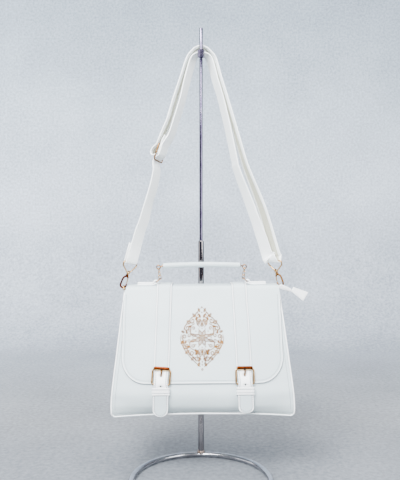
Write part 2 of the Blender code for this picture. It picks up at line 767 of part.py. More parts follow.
for name, side in SIDES:
    eye = Vector((side * EYE_X, HANDLE_Y, EYE_Z))
    grip_end = Vector((side * GRIP_HALF, HANDLE_Y, 338.2))
    inward = (grip_end - eye).normalized()
    turns = [2 * math.pi * k / 10 for k in range(10)]
    ring = [eye + (ACROSS * math.cos(a) + UP * math.sin(a)) * EYE_R for a in turns]
    made = rod(f"handle_eye_{name}", GOLD, ring, EYE_WIRE, BACKWARD, closed=True, sides=6, on_bag=True)
    stem_start = eye + inward * (EYE_R - 0.2)
    stem_end = grip_end + inward * 4.0
    fuse(made, cylinder(f"stem_{name}", None, 1.0, stem_start, stem_end, 8, True))
    bore_start = grip_end - inward * 3.0
    bore_end = stem_end + inward * GAP
    cut(grip, cylinder(f"bore_{name}", None, 1.35, bore_start, bore_end, 8, True))

    apex = Vector((side * TAB_RING_APEX[0], HANDLE_Y, TAB_RING_APEX[1]))
    top = eye - UP * (EYE_R - EYE_WIRE - LINK_WIRE - LINK_CLEAR)
    bottom = apex - UP * (TAB_RING_WIRE + LINK_WIRE + LINK_CLEAR)
    fall = (bottom - top).normalized()
    shared = 2 * LINK_WIRE + LINK_CLEAR
    link_long = ((bottom - top).length + 2 * shared) / 3
    pitch = link_long - shared
    for order, letter in enumerate("abc"):
        centre = top + fall * (pitch * order + link_long / 2)
        turn = math.radians(LINK_TURN * (order + 1))
        flat = ACROSS * math.cos(turn) + BACKWARD * math.sin(turn)
        straight = (link_long - LINK_WIDE) / 2
        loop = []
        for way in (1, -1):
            for degrees in (0, 45, 90, 135, 180):
                a = math.radians(degrees)
                loop.append(centre + flat * (way * LINK_WIDE / 2 * math.cos(a))
                            - fall * (way * (straight + LINK_WIDE / 2 * math.sin(a))))
        ref = flat.cross(fall)
        rod(f"chain_link_{letter}_{name}", GOLD, loop, LINK_WIRE, ref, closed=True, sides=6, on_bag=True)

    base = Vector((side * TAB_RING_BASE[0], HANDLE_Y, TAB_RING_BASE[1]))
    climb = apex - base
    outline = [base - BACKWARD * 7, base + BACKWARD * 7]
    outline += [base + BACKWARD * 6.4 + climb * 0.62, apex + BACKWARD * 2.6]
    outline += [apex - BACKWARD * 2.6, base - BACKWARD * 6.4 + climb * 0.62]
    loop = fillet(outline, [1.2, 1.2, 2.5, 3.0, 3.0, 2.5], 2, closed=True)
    ref = climb.cross(BACKWARD)
    rod(f"tab_ring_{name}", GOLD, loop, TAB_RING_WIRE, ref, closed=True, sides=6, on_bag=True)

    bend = TAB_RING_WIRE + GAP + HANDLE_TAB_THICK / 2
    lower = FLAP_TOP_Z + GAP + HANDLE_TAB_THICK / 2
    upper = lower + HANDLE_TAB_THICK + GAP
    path = [Vector((side * 108.0, HANDLE_Y, lower)), Vector((side * 84.0, HANDLE_Y, lower))]
    path += [base + Vector((side * 3.0, 0.0, -bend - 0.6))]
    for degrees in (-90, -45, 0, 45, 90):
        a = math.radians(degrees)
        path.append(base + Vector((-side * bend * math.cos(a), 0.0, bend * math.sin(a))))
    path += [base + Vector((side * 3.0, 0.0, bend - 0.2)), Vector((side * 84.0, HANDLE_Y, upper))]
    path += [Vector((side * 108.0, HANDLE_Y, upper))]
    strip(f"handle_tab_{name}", LEATHER, path, BACKWARD, 10.4, HANDLE_TAB_THICK, on_bag=True)

    # Ring on the gusset and the leather that holds it
    base = Vector((side * D_RING_BASE[0], SIDE_Y, D_RING_BASE[1]))
    head = Vector((side * D_RING_TOP[side][0], SIDE_Y, D_RING_TOP[side][1]))
    climb = head - base
    outline = [base - BACKWARD * D_RING_HALF, base + BACKWARD * D_RING_HALF]
    outline += [head + BACKWARD * D_RING_HALF, head - BACKWARD * D_RING_HALF]
    loop = fillet(outline, [1.6, 1.6, 6.0, 6.0], 3, closed=True)
    rod(f"d_ring_{name}", GOLD, loop, D_RING_WIRE, climb.cross(BACKWARD), closed=True, sides=6, on_bag=True)
    bend = D_RING_WIRE + GAP + 0.75
    path = [Vector((side * 131.0, SIDE_Y, 262.0)), Vector((side * 128.7, SIDE_Y, 284.0))]
    for degrees in (180, 135, 90, 45, 0):
        a = math.radians(degrees)
        path.append(base + Vector((side * bend * math.cos(a), 0.0, bend * math.sin(a))))
    path += [Vector((side * 130.6, SIDE_Y, 283.0)), Vector((side * 132.9, SIDE_Y, 262.0))]
    strip(f"side_tab_{name}", LEATHER, path, BACKWARD, 12.4, 1.5, on_bag=True)

# Shoulder strap. Runs give height, the middle of each layer and the twist of the strip.
RIGHT_RUN = (
    # z, inner x, outer x, twist in degrees
    (692.7, 14.7, 21.7, 22),
    (658.1, 24.5, 31.9, 21),
    (623.5, 34.6, 42.5, 21),
    (570.0, 47.0, 58.0, 21),
    (518.5, 57.4, 73.0, 21),
    (501.4, 61.5, 78.7, 23),
    (433.0, 86.9, 104.8, 33),
    (383.3, 104.3, 118.8, 41),
    (356.0, 113.0, 126.2, 44),
)
LEFT_INNER = (
    # z, x, twist in degrees
    (692.7, -13.9, 22),
    (658.1, -23.6, 24),
    (623.5, -32.0, 22),
    (588.6, -42.7, 22),
    (571.3, -48.0, 23),
    (559.0, -52.6, 24),
)
SLIDE_INNER = (
    # distance inward from the slide's plane, height along it
    (4.9, 14.0),
    (4.9, 6.5),
    (4.9, 1.0),
    (4.6, -2.6),
    (2.6, -6.2),
    (-0.4, -10.0),
    (-2.2, -12.6),
    (-2.5, -15.0),
    (-2.0, -20.0),
)
LEFT_SINGLE = (
    # z, x, twist
    (502.4, -76.3, 26),
    (485.0, -78.8, 28),
    (467.8, -82.9, 30),
    (450.6, -88.1, 29),
    (416.1, -97.3, 37),
    (398.9, -103.5, 39),
    (381.6, -108.4, 40),
    (365.0, -112.8, 43),
)
LEFT_OUTER = (
    # z, x, twist
    (692.7, -21.0, 22),
    (658.1, -32.4, 22),
    (623.5, -43.7, 22),
    (588.6, -53.9, 22),
    (571.3, -61.0, 23),
    (558.0, -66.4, 24),
)
SLIDE_OUTER = (
    # distance inward from the slide's plane, height along it
    (-5.2, 17.0),
    (-6.4, 12.0),
    (-10.6, 6.1),
    (-12.6, 0.0),
    (-11.0, -5.6),
    (-7.0, -7.6),
    (-3.2, -5.4),
    (-0.9, -2.6),
    (1.3, -2.1),
    (2.3, -0.8),
    (2.45, 7.0),
    (2.45, 14.0),
    (2.85, 22.0),
    (4.85, 31.0),
)


def strap_y(z):
    return -16.5 - 14.5 * (705.5 - min(max(z, 345.0), 705.5)) / 360.5


slide_centre = Vector((SLIDE_CENTRE[0], strap_y(SLIDE_CENTRE[1]), SLIDE_CENTRE[1]))
slide_run = Vector((SLIDE_RUN[0], 0.0, SLIDE_RUN[1])).normalized()
slide_out = Vector((-slide_run.z, 0.0, slide_run.x))
slide_across = slide_out * math.sin(SLIDE_TWIST) - BACKWARD * math.cos(SLIDE_TWIST)
slide_in = slide_across.cross(slide_run)
if slide_in.x < 0:
    slide_in = -slide_in


def ring_frame(side):
    """Bar's middle, direction along the bar, up the strip, and inward across it."""
    centre = Vector(RING_BAR[side])
    across = Vector(RING_ACROSS[side]).normalized()
    along = (Vector(RING_RUN[side]) - across * Vector(RING_RUN[side]).dot(across)).normalized()
    return centre, across, along, across.cross(along) * side


def round_bar(side, first, last, count):
    """Stations on the arc of the strip about a ring's bar, from 0 at the inner side to 180 at the outer."""
    centre, across, along, inner = ring_frame(side)
    radius = STRAP_THICK / 2 + GAP + RING_WIRE
    for k in range(count + 1):
        a = math.radians(first + (last - first) * k / count)
        add(centre + inner * (radius * math.cos(a)) - along * (radius * math.sin(a)), across)


strap_points = []
strap_across = []


def add(point, across):
    strap_points.append(point)
    strap_across.append(across)


def leg(rows, side, column=1):
    """Stations down a side, with the strip's front edge turned outward."""
    for row in rows:
        turn = math.radians(row[-1])
        point = Vector((row[column], strap_y(row[0]), row[0]))
        add(point, Vector((side * math.sin(turn), -math.cos(turn), 0.0)))


def slide_leg(rows):
    for inward, rise in rows:
        add(slide_centre + slide_in * inward + slide_run * rise, slide_across)


# Short end outside, round the left bar, up inside
bar, across, along, inner = ring_frame(-1)
for rise, inward in ((32.0, -2.0), (22.0, -2.0), (10.0, -2.5)):
    add(bar + along * rise + inner * inward + ACROSS * rise * 0.03, across)
round_bar(-1, 180, 0, 6)
add(bar + along * 7.0 + inner * 2.6, across)
leg(LEFT_SINGLE[::-1], -1)
slide_leg(SLIDE_INNER[::-1])
leg(LEFT_INNER[::-1], -1)
add(Vector((-3.4, -16.5, 704.3)), -BACKWARD)
add(Vector((0.0, -16.5, 705.6)), -BACKWARD)
add(Vector((3.4, -16.5, 704.3)), -BACKWARD)
leg([(row[0], row[1], row[3]) for row in RIGHT_RUN], 1)
bar, across, along, inner = ring_frame(1)
add(bar + inner * 9.0 + along * 4.0 - across * 2.0, across)
add(bar + inner * 5.2 - along * 1.6, across)
round_bar(1, 75, 180, 4)
add(bar + along * 5.0 - inner * 2.7, across)
leg([(row[0], row[2], row[3]) for row in RIGHT_RUN[::-1]], 1)
add(Vector((12.4, -16.5, 707.4)), Vector((0.2, -1.0, 0.0)))
add(Vector((6.6, -16.5, 713.0)), -BACKWARD)
add(Vector((0.0, -16.5, 714.6)), -BACKWARD)
add(Vector((-6.6, -16.5, 713.0)), -BACKWARD)
add(Vector((-12.4, -16.5, 707.4)), Vector((-0.2, -1.0, 0.0)))
leg(LEFT_OUTER, -1)
slide_leg(SLIDE_OUTER)

per_span = [min(2, 1 + int((b - a).length / 14.0)) for a, b in zip(strap_points, strap_points[1:])]
path = spline(strap_points, per_span)
turns = spline(strap_across, per_span)
strip("shoulder_strap", STRAP_LEATHER, path, turns, STRAP_WIDTH, STRAP_THICK)

corners = []
for a, b in ((-1, -1), (1, -1), (1, 1), (-1, 1)):
    corners.append(slide_centre + slide_across * (a * SLIDE_HALF) + slide_run * (b * SLIDE_SPAN))
loop = fillet(corners, [2.0] * 4, 2, closed=True)
slide = rod("strap_adjuster", GOLD, loop, SLIDE_WIRE, slide_in, closed=True, sides=6)
bar_start = slide_centre - slide_across * SLIDE_HALF
bar_end = slide_centre + slide_across * SLIDE_HALF
fuse(slide, cylinder("slide_bar", None, SLIDE_WIRE - 0.05, bar_start, bar_end, 8))

for name, side in SIDES:
    bar = Vector(RING_BAR[side])
    apex = Vector((RING_APEX[side][0], SIDE_Y, RING_APEX[side][1]))
    bottom = Vector((HOOK_BOTTOM[side][0], SIDE_Y, HOOK_BOTTOM[side][1]))
    fall = apex - bar
    across = Vector(RING_ACROSS[side])
    across = (across - fall.normalized() * across.dot(fall.normalized())).normalized()
    outline = [bar - across * RING_HALF, bar + across * RING_HALF]
    tip = apex + fall.normalized() * 0.8
    outline += [bar + across * RING_HALF + fall * 0.33, tip, bar - across * RING_HALF + fall * 0.33]
    loop = fillet(outline, [2.2, 2.2, 4.0, 2.0, 4.0], 3, closed=True)
    ring = rod(f"swivel_eye_{name}", GOLD, loop, RING_WIRE, across.cross(fall), closed=True, sides=8)

    # Hook frame of reference: down its length, and out away from the bag
    down = (bottom - apex).normalized()
    out = Vector((down.z, 0.0, -down.x)) * -side
    if out.x * side < 0:
        out = -out
    boss = cylinder(f"boss_{name}", None, BOSS_R, apex - down * 3.3, apex + down * 1.6, 10)
    fuse(ring, boss)
    cut(ring, cylinder(f"boss_bore_{name}", None, POST_R + GAP, apex - down * 6, apex + down * 6, 8))

    def at(aside, along, away=0.0):
        return apex + out * aside + down * along + BACKWARD * away

    profile = [(0, -5.1), (1.5, -5.1), (1.5, -3.6), (POST_R, -3.6)]
    profile += [(POST_R, 1.9), (2.6, 1.9), (2.6, 4.6), (0, 4.6)]
    body_path = [at(0.3, 3.4), at(1.4, 5.4), at(3.4, 7.6), at(4.5, 10.4), at(4.7, 15.0), at(4.7, 20.0)]
    for degrees in (30, 60, 90, 120, 150, 180):
        a = math.radians(degrees)
        body_path.append(at(HOOK_HALF * math.cos(a), 20.9 + HOOK_HALF * math.sin(a)))
    body_path += [at(-4.7, 18.6), at(-4.6, 17.0)]
    radii = [2.0, 1.8] + [HOOK_R] * (len(body_path) - 4) + [1.4, 1.15]
    body = rod(f"hook_body_{name}", GOLD, body_path, radii, BACKWARD, sides=8)
    fuse(body, turned(f"post_{name}", None, profile, apex, down, 8))
    pivot = at(-2.9, 6.6)
    for where, near in (("front", -1), ("rear", 1)):
        centre = 1.75 * near
        ear_path = [at(0.6, 4.2, centre), at(-2.9, 6.6, centre)]
        ear = strip(f"ear_{where}_{name}", None, ear_path, BACKWARD, 0.9, [3.0, 2.4])
        fuse(body, ear)
        end_low = at(-2.9, 6.6, centre - 0.45)
        end_high = at(-2.9, 6.6, centre + 0.45)
        fuse(body, cylinder(f"ear_end_{where}_{name}", None, 1.3, end_low, end_high, 10))
    fuse(body, cylinder(f"pin_{name}", None, 0.6, at(-2.9, 6.6, -2.1), at(-2.9, 6.6, 2.1), 8))
    gate_path = [at(-2.9, 6.6), at(-3.4, 9.5), at(-4.2, 14.4), at(-4.5, 16.4)]
    gate = rod(f"hook_gate_{name}", GOLD, gate_path, [0.95, 0.95, 0.95, 0.9], BACKWARD, sides=8)
    set_origin(gate, pivot)
    fuse(gate, cylinder(f"gate_hub_{name}", None, 1.45, at(-2.9, 6.6, -1.0), at(-2.9, 6.6, 1.0), 10))
    cut(gate, cylinder(f"gate_bore_{name}", None, 0.9, at(-2.9, 6.6, -3.0), at(-2.9, 6.6, 3.0), 8))

# Stand
turns = [2 * math.pi * k / 36 for k in range(36)]
flat_r = BASE_TUBE_R * math.cos(math.pi / BASE_SIDES)
centre = Vector((0.0, -BASE_RADIUS, flat_r))
path = [centre + Vector((math.sin(a), math.cos(a), 0.0)) * BASE_RADIUS for a in turns]
rod("base_ring", CHROME, path, BASE_TUBE_R, UP, closed=True, sides=BASE_SIDES)

foot_z = 2 * flat_r + GAP
bore_foot = TUBE_TOP_Z - TUBE_BORE_DEEP
profile = [(0, foot_z), (TUBE_R, foot_z), (TUBE_R, TUBE_TOP_Z)]
profile += [(TUBE_BORE_R, TUBE_TOP_Z), (TUBE_BORE_R, bore_foot), (0, bore_foot)]
turned("lower_tube", CHROME, profile, (0, 0, 0), UP, 16)

corners = [
    Vector((0.0, 0.0, TUBE_TOP_Z - ROD_INSERT)),
    Vector((0.0, 0.0, ARM_Z)),
    Vector((0.0, ARM_Y, ARM_Z)),
    Vector((0.0, ARM_Y, HOOK_TIP_Z - 1.0)),
    Vector((0.0, ARM_Y, HOOK_TIP_Z)),
]
path = fillet(corners, [0, 5.0, 4.0, 0, 0], 4)
radii = [ROD_R] * (len(path) - 1) + [ROD_R - 1.0]
upper = rod("upper_rod", CHROME, path, radii, ACROSS, sides=12)
low, high = COLLAR_Z
profile = [(0, low), (COLLAR_R - 1.0, low), (COLLAR_R, low + 1.0)]
profile += [(COLLAR_R, high - 1.0), (COLLAR_R - 1.0, high), (0, high)]
fuse(upper, turned("collar", None, profile, (0.0, ARM_Y, 0.0), UP, 12))
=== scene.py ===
import math

import bpy
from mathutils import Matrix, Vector, noise


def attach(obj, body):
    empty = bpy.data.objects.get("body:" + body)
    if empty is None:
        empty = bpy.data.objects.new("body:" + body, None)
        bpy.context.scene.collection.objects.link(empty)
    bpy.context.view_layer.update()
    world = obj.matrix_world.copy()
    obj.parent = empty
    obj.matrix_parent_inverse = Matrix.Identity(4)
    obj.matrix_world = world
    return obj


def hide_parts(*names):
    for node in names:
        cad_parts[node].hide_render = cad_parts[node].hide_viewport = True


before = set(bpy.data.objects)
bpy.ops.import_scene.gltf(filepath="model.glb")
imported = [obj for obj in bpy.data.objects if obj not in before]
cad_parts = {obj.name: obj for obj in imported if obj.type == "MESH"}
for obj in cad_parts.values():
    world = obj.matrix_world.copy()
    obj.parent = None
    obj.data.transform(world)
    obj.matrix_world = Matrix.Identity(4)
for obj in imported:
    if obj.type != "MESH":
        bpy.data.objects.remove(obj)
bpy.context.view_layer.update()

MM = 0.001

# Heights in metres between which painted shade darkens the bag's front toward its foot
FOOT_Z = 0.106
FOOT_CLEAR_Z = 0.15


def nodes_of(name):
    made = bpy.data.materials.new(name)
    made.use_nodes = True
    tree = made.node_tree
    return made, tree, tree.nodes["Principled BSDF"]


def wire(tree, a, b):
    tree.links.new(a, b)


def coords(tree):
    """Object-space position."""
    return tree.nodes.new("ShaderNodeTexCoord").outputs["Object"]


def noise_of(tree, vector, scale, detail=3.0, rough=0.5):
    made = tree.nodes.new("ShaderNodeTexNoise")
    made.inputs["Scale"].default_value = scale
    made.inputs["Detail"].default_value = detail
    made.inputs["Roughness"].default_value = rough
    wire(tree, vector, made.inputs["Vector"])
    return made.outputs["Fac"]


def ramp(tree, value, stops):
    """Colours or grey levels by value."""
    made = tree.nodes.new("ShaderNodeValToRGB")
    while len(made.color_ramp.elements) < len(stops):
        made.color_ramp.elements.new(0.5)
    for element, (place, colour) in zip(made.color_ramp.elements, stops):
        element.position = place
        element.color = (*colour, 1.0) if isinstance(colour, tuple) else (colour, colour, colour, 1.0)
    wire(tree, value, made.inputs["Fac"])
    return made.outputs["Color"]


def bump(tree, shader, height, strength, distance, under=None):
    made = tree.nodes.new("ShaderNodeBump")
    made.inputs["Strength"].default_value = strength
    made.inputs["Distance"].default_value = distance
    wire(tree, height, made.inputs["Height"])
    if under:
        wire(tree, under, made.inputs["Normal"])
    wire(tree, made.outputs["Normal"], shader.inputs["Normal"])
    return made.outputs["Normal"]


def multiply(tree, first, second):
    """Product of two colours."""
    blend = tree.nodes.new("ShaderNodeMix")
    blend.data_type = "RGBA"
    blend.blend_type = "MULTIPLY"
    blend.inputs[0].default_value = 1.0
    wire(tree, first, blend.inputs[6])
    wire(tree, second, blend.inputs[7])
    return blend.outputs[2]


def leather(name, light, dark, rough=(0.42, 0.56), grain=900.0, deep=0.35, low=1.0):
    """Pebbled leather with slow patches of tone and gloss; low under 1 paints shade on it toward the bag's
    foot.
    """
    made, tree, shader = nodes_of(name)
    place = coords(tree)
    patches = noise_of(tree, place, 9.0, 4.0)
    colour = ramp(tree, patches, ((0.32, dark), (0.68, light)))
    if low < 1.0:
        axes = tree.nodes.new("ShaderNodeSeparateXYZ")
        wire(tree, place, axes.inputs["Vector"])
        stops = ((FOOT_Z, (low, low, low * 0.985)), (FOOT_CLEAR_Z, (1.0, 1.0, 1.0)))
        shade = ramp(tree, axes.outputs["Z"], stops)
        colour = multiply(tree, colour, shade)
    wire(tree, colour, shader.inputs["Base Color"])
    gloss = noise_of(tree, place, 38.0, 4.0, 0.6)
    wire(tree, ramp(tree, gloss, ((0.3, rough[0]), (0.7, rough[1]))), shader.inputs["Roughness"])
    cells = tree.nodes.new("ShaderNodeTexVoronoi")
    cells.feature = "DISTANCE_TO_EDGE"
    cells.inputs["Scale"].default_value = grain
    wire(tree, place, cells.inputs["Vector"])
    pebbles = ramp(tree, cells.outputs["Distance"], ((0.0, 0.0), (0.22, 1.0)))
    soft = bump(tree, shader, noise_of(tree, place, 150.0, 2.0), 0.25, 0.0006)
    bump(tree, shader, pebbles, deep, 0.00012, soft)
    shader.inputs["Specular IOR Level"].default_value = 0.45
    return made


def metal(name, base, tint, rough, scratch=0.12):
    """Polished metal with slow changes of tint and fine wear."""
    made, tree, shader = nodes_of(name)
    place = coords(tree)
    slow = noise_of(tree, place, 60.0, 3.0)
    wire(tree, ramp(tree, slow, ((0.35, base), (0.7, tint))), shader.inputs["Base Color"])
    shader.inputs["Metallic"].default_value = 1.0
    wear = noise_of(tree, place, 420.0, 4.0, 0.65)
    wire(tree, ramp(tree, wear, ((0.3, rough[0]), (0.75, rough[1]))), shader.inputs["Roughness"])
    bump(tree, shader, noise_of(tree, place, 700.0, 2.0), scratch, 0.00008)
    return made


# Leathers: light tone, dark tone, range of roughness, scale of the grain, depth of the grain
WHITE = leather("white_leather_grain", (0.54, 0.62, 0.645), (0.50, 0.58, 0.605))
# Front leather with painted shade toward the bag's foot, below the belly
FRONT = leather("front_leather_grain_foot_shade", (0.54, 0.62, 0.645), (0.50, 0.58, 0.605), low=0.80)
# Lighter copy of the white leather: painted highlight on edges, bands and parts that face the light
LIT_WHITE = leather("white_leather_painted_highlight", (0.93, 0.945, 0.95), (0.89, 0.91, 0.92), (0.32, 0.46))
# Dark copy of the white leather: painted shade in stitch grooves, and edge paint with painted shadow on cut
# edges
SHADE_AND_EDGE_PAINT = leather("white_leather_painted_shade_and_edge_paint", (0.30, 0.33, 0.365), (0.24, 0.27, 0.30), (0.6, 0.7))
# Dark grey for the stitches of the flap, panels and belts and for the keepers' creases: painted shade in
# stitch holes and creases
STITCH_SHADE = leather("seam_thread_painted_shade", (0.22, 0.255, 0.29), (0.16, 0.19, 0.22), (0.6, 0.72), 2600.0, 0.6)
STRAP = leather("strap_leather_grain", (0.93, 0.96, 0.955), (0.89, 0.925, 0.92), (0.4, 0.55))
BACKING = leather("strap_backing_grain", (0.56, 0.56, 0.46), (0.50, 0.50, 0.41), (0.6, 0.75), 1300.0, 0.5)
THREAD = leather("sewing_thread", (0.86, 0.875, 0.88), (0.78, 0.80, 0.81), (0.55, 0.7), 2600.0, 0.6)
FABRIC = leather("zip_fabric_weave", (0.86, 0.87, 0.87), (0.79, 0.80, 0.80), (0.7, 0.85), 1900.0, 0.9)
SHADOW = leather("hole_shadow", (0.03, 0.03, 0.032), (0.06, 0.058, 0.055), (0.7, 0.85))

# Metals: base, tint, range of roughness, depth of the scratches
GOLD = metal("rose_gold_wear", (0.50, 0.29, 0.115), (0.65, 0.42, 0.20), (0.16, 0.32))
FOIL = metal("gold_foil", (0.095, 0.040, 0.008), (0.16, 0.075, 0.018), (0.35, 0.5))
CHROME = metal("chrome_wear", (0.22, 0.205, 0.213), (0.31, 0.295, 0.303), (0.06, 0.16), 0.06)
CHROME_ROD = metal("chrome_wear_rod", (0.115, 0.095, 0.165), (0.18, 0.165, 0.235), (0.06, 0.16), 0.06)
CHROME_FLAT = metal("chrome_wear_base", (0.30, 0.30, 0.32), (0.44, 0.44, 0.46), (0.12, 0.26), 0.08)
WELD = metal("weld_rust", (0.15, 0.10, 0.075), (0.42, 0.38, 0.36), (0.35, 0.6), 0.5)
# Darkest rose gold: painted dark reflection on the buckles' top bars and the left snap hook
DARK_REFLECTION_GOLD = metal("rose_gold_painted_dark_reflection", (0.07, 0.013, 0.002), (0.115, 0.024, 0.005), (0.2, 0.36))
BRONZE = metal("rose_gold_brown", (0.21, 0.095, 0.028), (0.34, 0.17, 0.06), (0.16, 0.32))
DARK = metal("metal_shadow", (0.008, 0.004, 0.004), (0.02, 0.011, 0.009), (0.4, 0.55))
# Palest rose gold: painted highlight on the lower lip of the buckles' top bars
LIT_GOLD = metal("rose_gold_painted_highlight", (0.78, 0.56, 0.29), (0.88, 0.67, 0.38), (0.42, 0.56))


# Studio, in metres
WALL_Y = 1.3
SWEEP_HALF = 2.4
SWEEP_TOP = 2.8
BEND_R = 0.35
BEND_STEPS = 12
CAMERA_PLACE = (-0.0018, -1.055, 0.3816)
CAMERA_LENS = 45.0
CAMERA_SENSOR = 36.0


def grey(level):
    return (level, level, level)


def scaled(tree, value, factor, more):
    """value times factor plus more, which is a number or another value."""
    made = tree.nodes.new("ShaderNodeMath")
    made.operation = "MULTIPLY_ADD"
    wire(tree, value, made.inputs[0])
    made.inputs[1].default_value = factor
    if isinstance(more, float):
        made.inputs[2].default_value = more
    else:
        wire(tree, more, made.inputs[2])
    return made.outputs[0]


def paper_look():
    """Felted paper whose tone changes from the near floor to the top of the wall, and from side to side:
    painted light, brightest partway up the wall, darker on the floor and lighter toward the left.
    """
    made, tree, shader = nodes_of("backdrop_paper")
    place = coords(tree)
    axes = tree.nodes.new("ShaderNodeSeparateXYZ")
    wire(tree, place, axes.inputs["Vector"])
    # One coordinate that climbs from the near floor to the top of the wall
    climb = scaled(tree, axes.outputs["Z"], 0.5, 0.144)
    run = scaled(tree, axes.outputs["Y"], 0.12, climb)
    painted_light = ramp(tree, run, (
        (0.15, (0.215, 0.232, 0.256)),
        (0.168, (0.268, 0.283, 0.302)),
        (0.20, (0.292, 0.313, 0.338)),
        (0.30, (0.475, 0.527, 0.60)),
        (0.45, (0.64, 0.71, 0.80)),
        (0.575, (0.755, 0.845, 0.955)),
        (0.75, (0.63, 0.73, 0.835)),
        (0.93, (0.46, 0.55, 0.645)),
    ))
    # Painted light from the left side
    painted_side_light = ramp(tree, scaled(tree, axes.outputs["X"], 0.7, 0.5), (
        (0.0, grey(1.0)),
        (0.1, grey(0.92)),
        (0.22, grey(0.85)),
        (0.5, grey(0.80)),
        (0.8, grey(0.85)),
        (1.0, grey(0.82)),
    ))
    slow = noise_of(tree, place, 5.0, 3.0, 0.6)
    felt = noise_of(tree, place, 120.0, 3.0, 0.7)
    grain = ramp(tree, scaled(tree, slow, 0.35, felt), ((0.48, (0.56, 0.575, 0.60)), (0.86, grey(1.0))))
    wire(tree, multiply(tree, multiply(tree, painted_light, painted_side_light), grain), shader.inputs["Base Color"])
    shader.inputs["Roughness"].default_value = 0.9
    return made


def backdrop():
    """Paper sweep: floor, bend and wall."""
    profile = [(-SWEEP_HALF, 0.0), (WALL_Y - BEND_R, 0.0)]
    for k in range(1, BEND_STEPS):
        a = math.pi / 2 * k / BEND_STEPS
        profile.append((WALL_Y - BEND_R + BEND_R * math.sin(a), BEND_R - BEND_R * math.cos(a)))
    profile += [(WALL_Y, BEND_R), (WALL_Y, SWEEP_TOP)]
    points = [(x, y, z) for y, z in profile for x in (-SWEEP_HALF, SWEEP_HALF)]
    faces = [(2 * k, 2 * k + 1, 2 * k + 3, 2 * k + 2) for k in range(len(profile) - 1)]
    mesh = bpy.data.meshes.new("backdrop")
    mesh.from_pydata(points, [], faces)
    mesh.shade_smooth()
    mesh.materials.append(paper_look())
    paper = bpy.data.objects.new("backdrop", mesh)
    bpy.context.scene.collection.objects.link(paper)


def room():
    """World that is light overhead and dark near the floor, which gives the metal its dark lines."""
    world = bpy.data.worlds.new("room")
    bpy.context.scene.world = world
    world.use_nodes = True
    tree = world.node_tree
    back = tree.nodes["Background"]
    where = tree.nodes.new("ShaderNodeTexCoord")
    split = tree.nodes.new("ShaderNodeSeparateXYZ")
    wire(tree, where.outputs["Generated"], split.inputs["Vector"])
    sky = ramp(tree, split.outputs["Z"], (
        (0.0, (0.12, 0.11, 0.155)),
        (0.12, (0.22, 0.205, 0.28)),
        (0.45, (0.85, 0.87, 0.92)),
        (1.0, grey(1.0)),
    ))
    wire(tree, sky, back.inputs["Color"])
    back.inputs["Strength"].default_value = 0.9


def soft_boxes():
    # Name, place, aimed at, width, height, watts, colour
    boxes = (
        ("key", (-0.75, -1.5, 1.75), (0.0, 0.0, 0.35), 0.8, 0.8, 120.0, (0.97, 0.99, 1.0)),
        ("fill", (1.3, -1.2, 0.9), (0.0, 0.0, 0.35), 0.9, 1.2, 34.0, (0.96, 0.98, 1.0)),
        ("front", (-0.15, -1.65, 1.2), (0.0, 0.0, 0.34), 0.45, 0.7, 50.0, (0.98, 0.99, 1.0)),
        ("window", (-1.25, -0.15, 0.6), (0.0, 0.0, 0.5), 1.0, 1.2, 9.0, (0.96, 0.98, 1.0)),
        ("high", (-0.5, -1.0, 1.15), (0.0, 0.0, 0.64), 0.3, 0.3, 4.5, (0.96, 0.98, 1.0)),
        ("top", (0.0, -0.3, 2.1), (0.0, -0.05, 0.3), 1.4, 0.8, 60.0, (1.0, 1.0, 1.0)),
    )
    for name, place, aim, wide, high, watts, colour in boxes:
        data = bpy.data.lights.new(name, "AREA")
        data.shape = "RECTANGLE"
        data.size = wide
        data.size_y = high
        data.energy = watts
        data.color = colour
        made = bpy.data.objects.new(name, data)
        made.location = place
        made.rotation_euler = (Vector(aim) - Vector(place)).to_track_quat("-Z", "Y").to_euler()
        bpy.context.scene.collection.objects.link(made)


def camera():
    data = bpy.data.cameras.new("camera")
    data.lens = CAMERA_LENS
    data.sensor_width = CAMERA_SENSOR
    made = bpy.data.objects.new("camera", data)
    made.location = CAMERA_PLACE
    made.rotation_euler = (math.radians(90.0), 0.0, 0.0)
    bpy.context.scene.collection.objects.link(made)
    bpy.context.scene.camera = made


backdrop()
room()
soft_boxes()
camera()

# Bag in its own frame, in millimetres; tilt() hangs it on the stand.
BAG_TILT = math.radians(0.47)
BAG_PIVOT = (1.1, 304.3)
FLAP_TOP = 305.7
FACING_TOP = 302.6
WALL = 2.0
PIPING_R = 1.2
BOTTOM = 105.5
BOTTOM_LIFT = 3.4
CORNER_R = 4.5
BACK_Y = -8.3
FLAP_LIFT = 2.5
FOLD_GAP = 0.3
FLAP_THICK = 2.2
FLAP_HALF = 128.0
FLAP_BOTTOM = 156.0
FLAP_CORNER = 38.0
FLAP_DRAWN = 3.6
FLAP_REAR_Y = -5.8
FLAP_REAR_Z = 262.0
BELT_TIP = {-1: 107.2, 1: 112.3}
SIDES = (("left", -1), ("right", 1))
ACROSS = Vector((1.0, 0.0, 0.0))
BACKWARD = Vector((0.0, 1.0, 0.0))
UP = Vector((0.0, 0.0, 1.0))

# Height, reach of the front at the middle, how far its side edges fall back
FRONT_SHAPE = (
    (320.0, 56.5, 1.0),
    (296.0, 65.5, 1.5),
    (260.0, 79.0, 3.5),
    (220.0, 92.0, 5.0),
    (190.0, 102.0, 6.5),
    (157.0, 112.0, 7.7),
    (135.0, 116.8, 7.8),
    (122.0, 115.2, 4.0),
    (112.5, 109.5, -2.2),
    (106.6, 101.5, -8.5),
    (103.0, 97.0, -11.0),
)

# Height, half width of the bag
SIDE_SHAPE = (
    (320.0, 126.2),
    (304.3, 128.0),
    (298.0, 128.7),
    (186.0, 139.8),
    (152.7, 143.2),
    (122.0, 145.3),
    (103.0, 144.7),
)


def unit(value):
    """The value, held between 0 and 1."""
    return min(max(value, 0.0), 1.0)


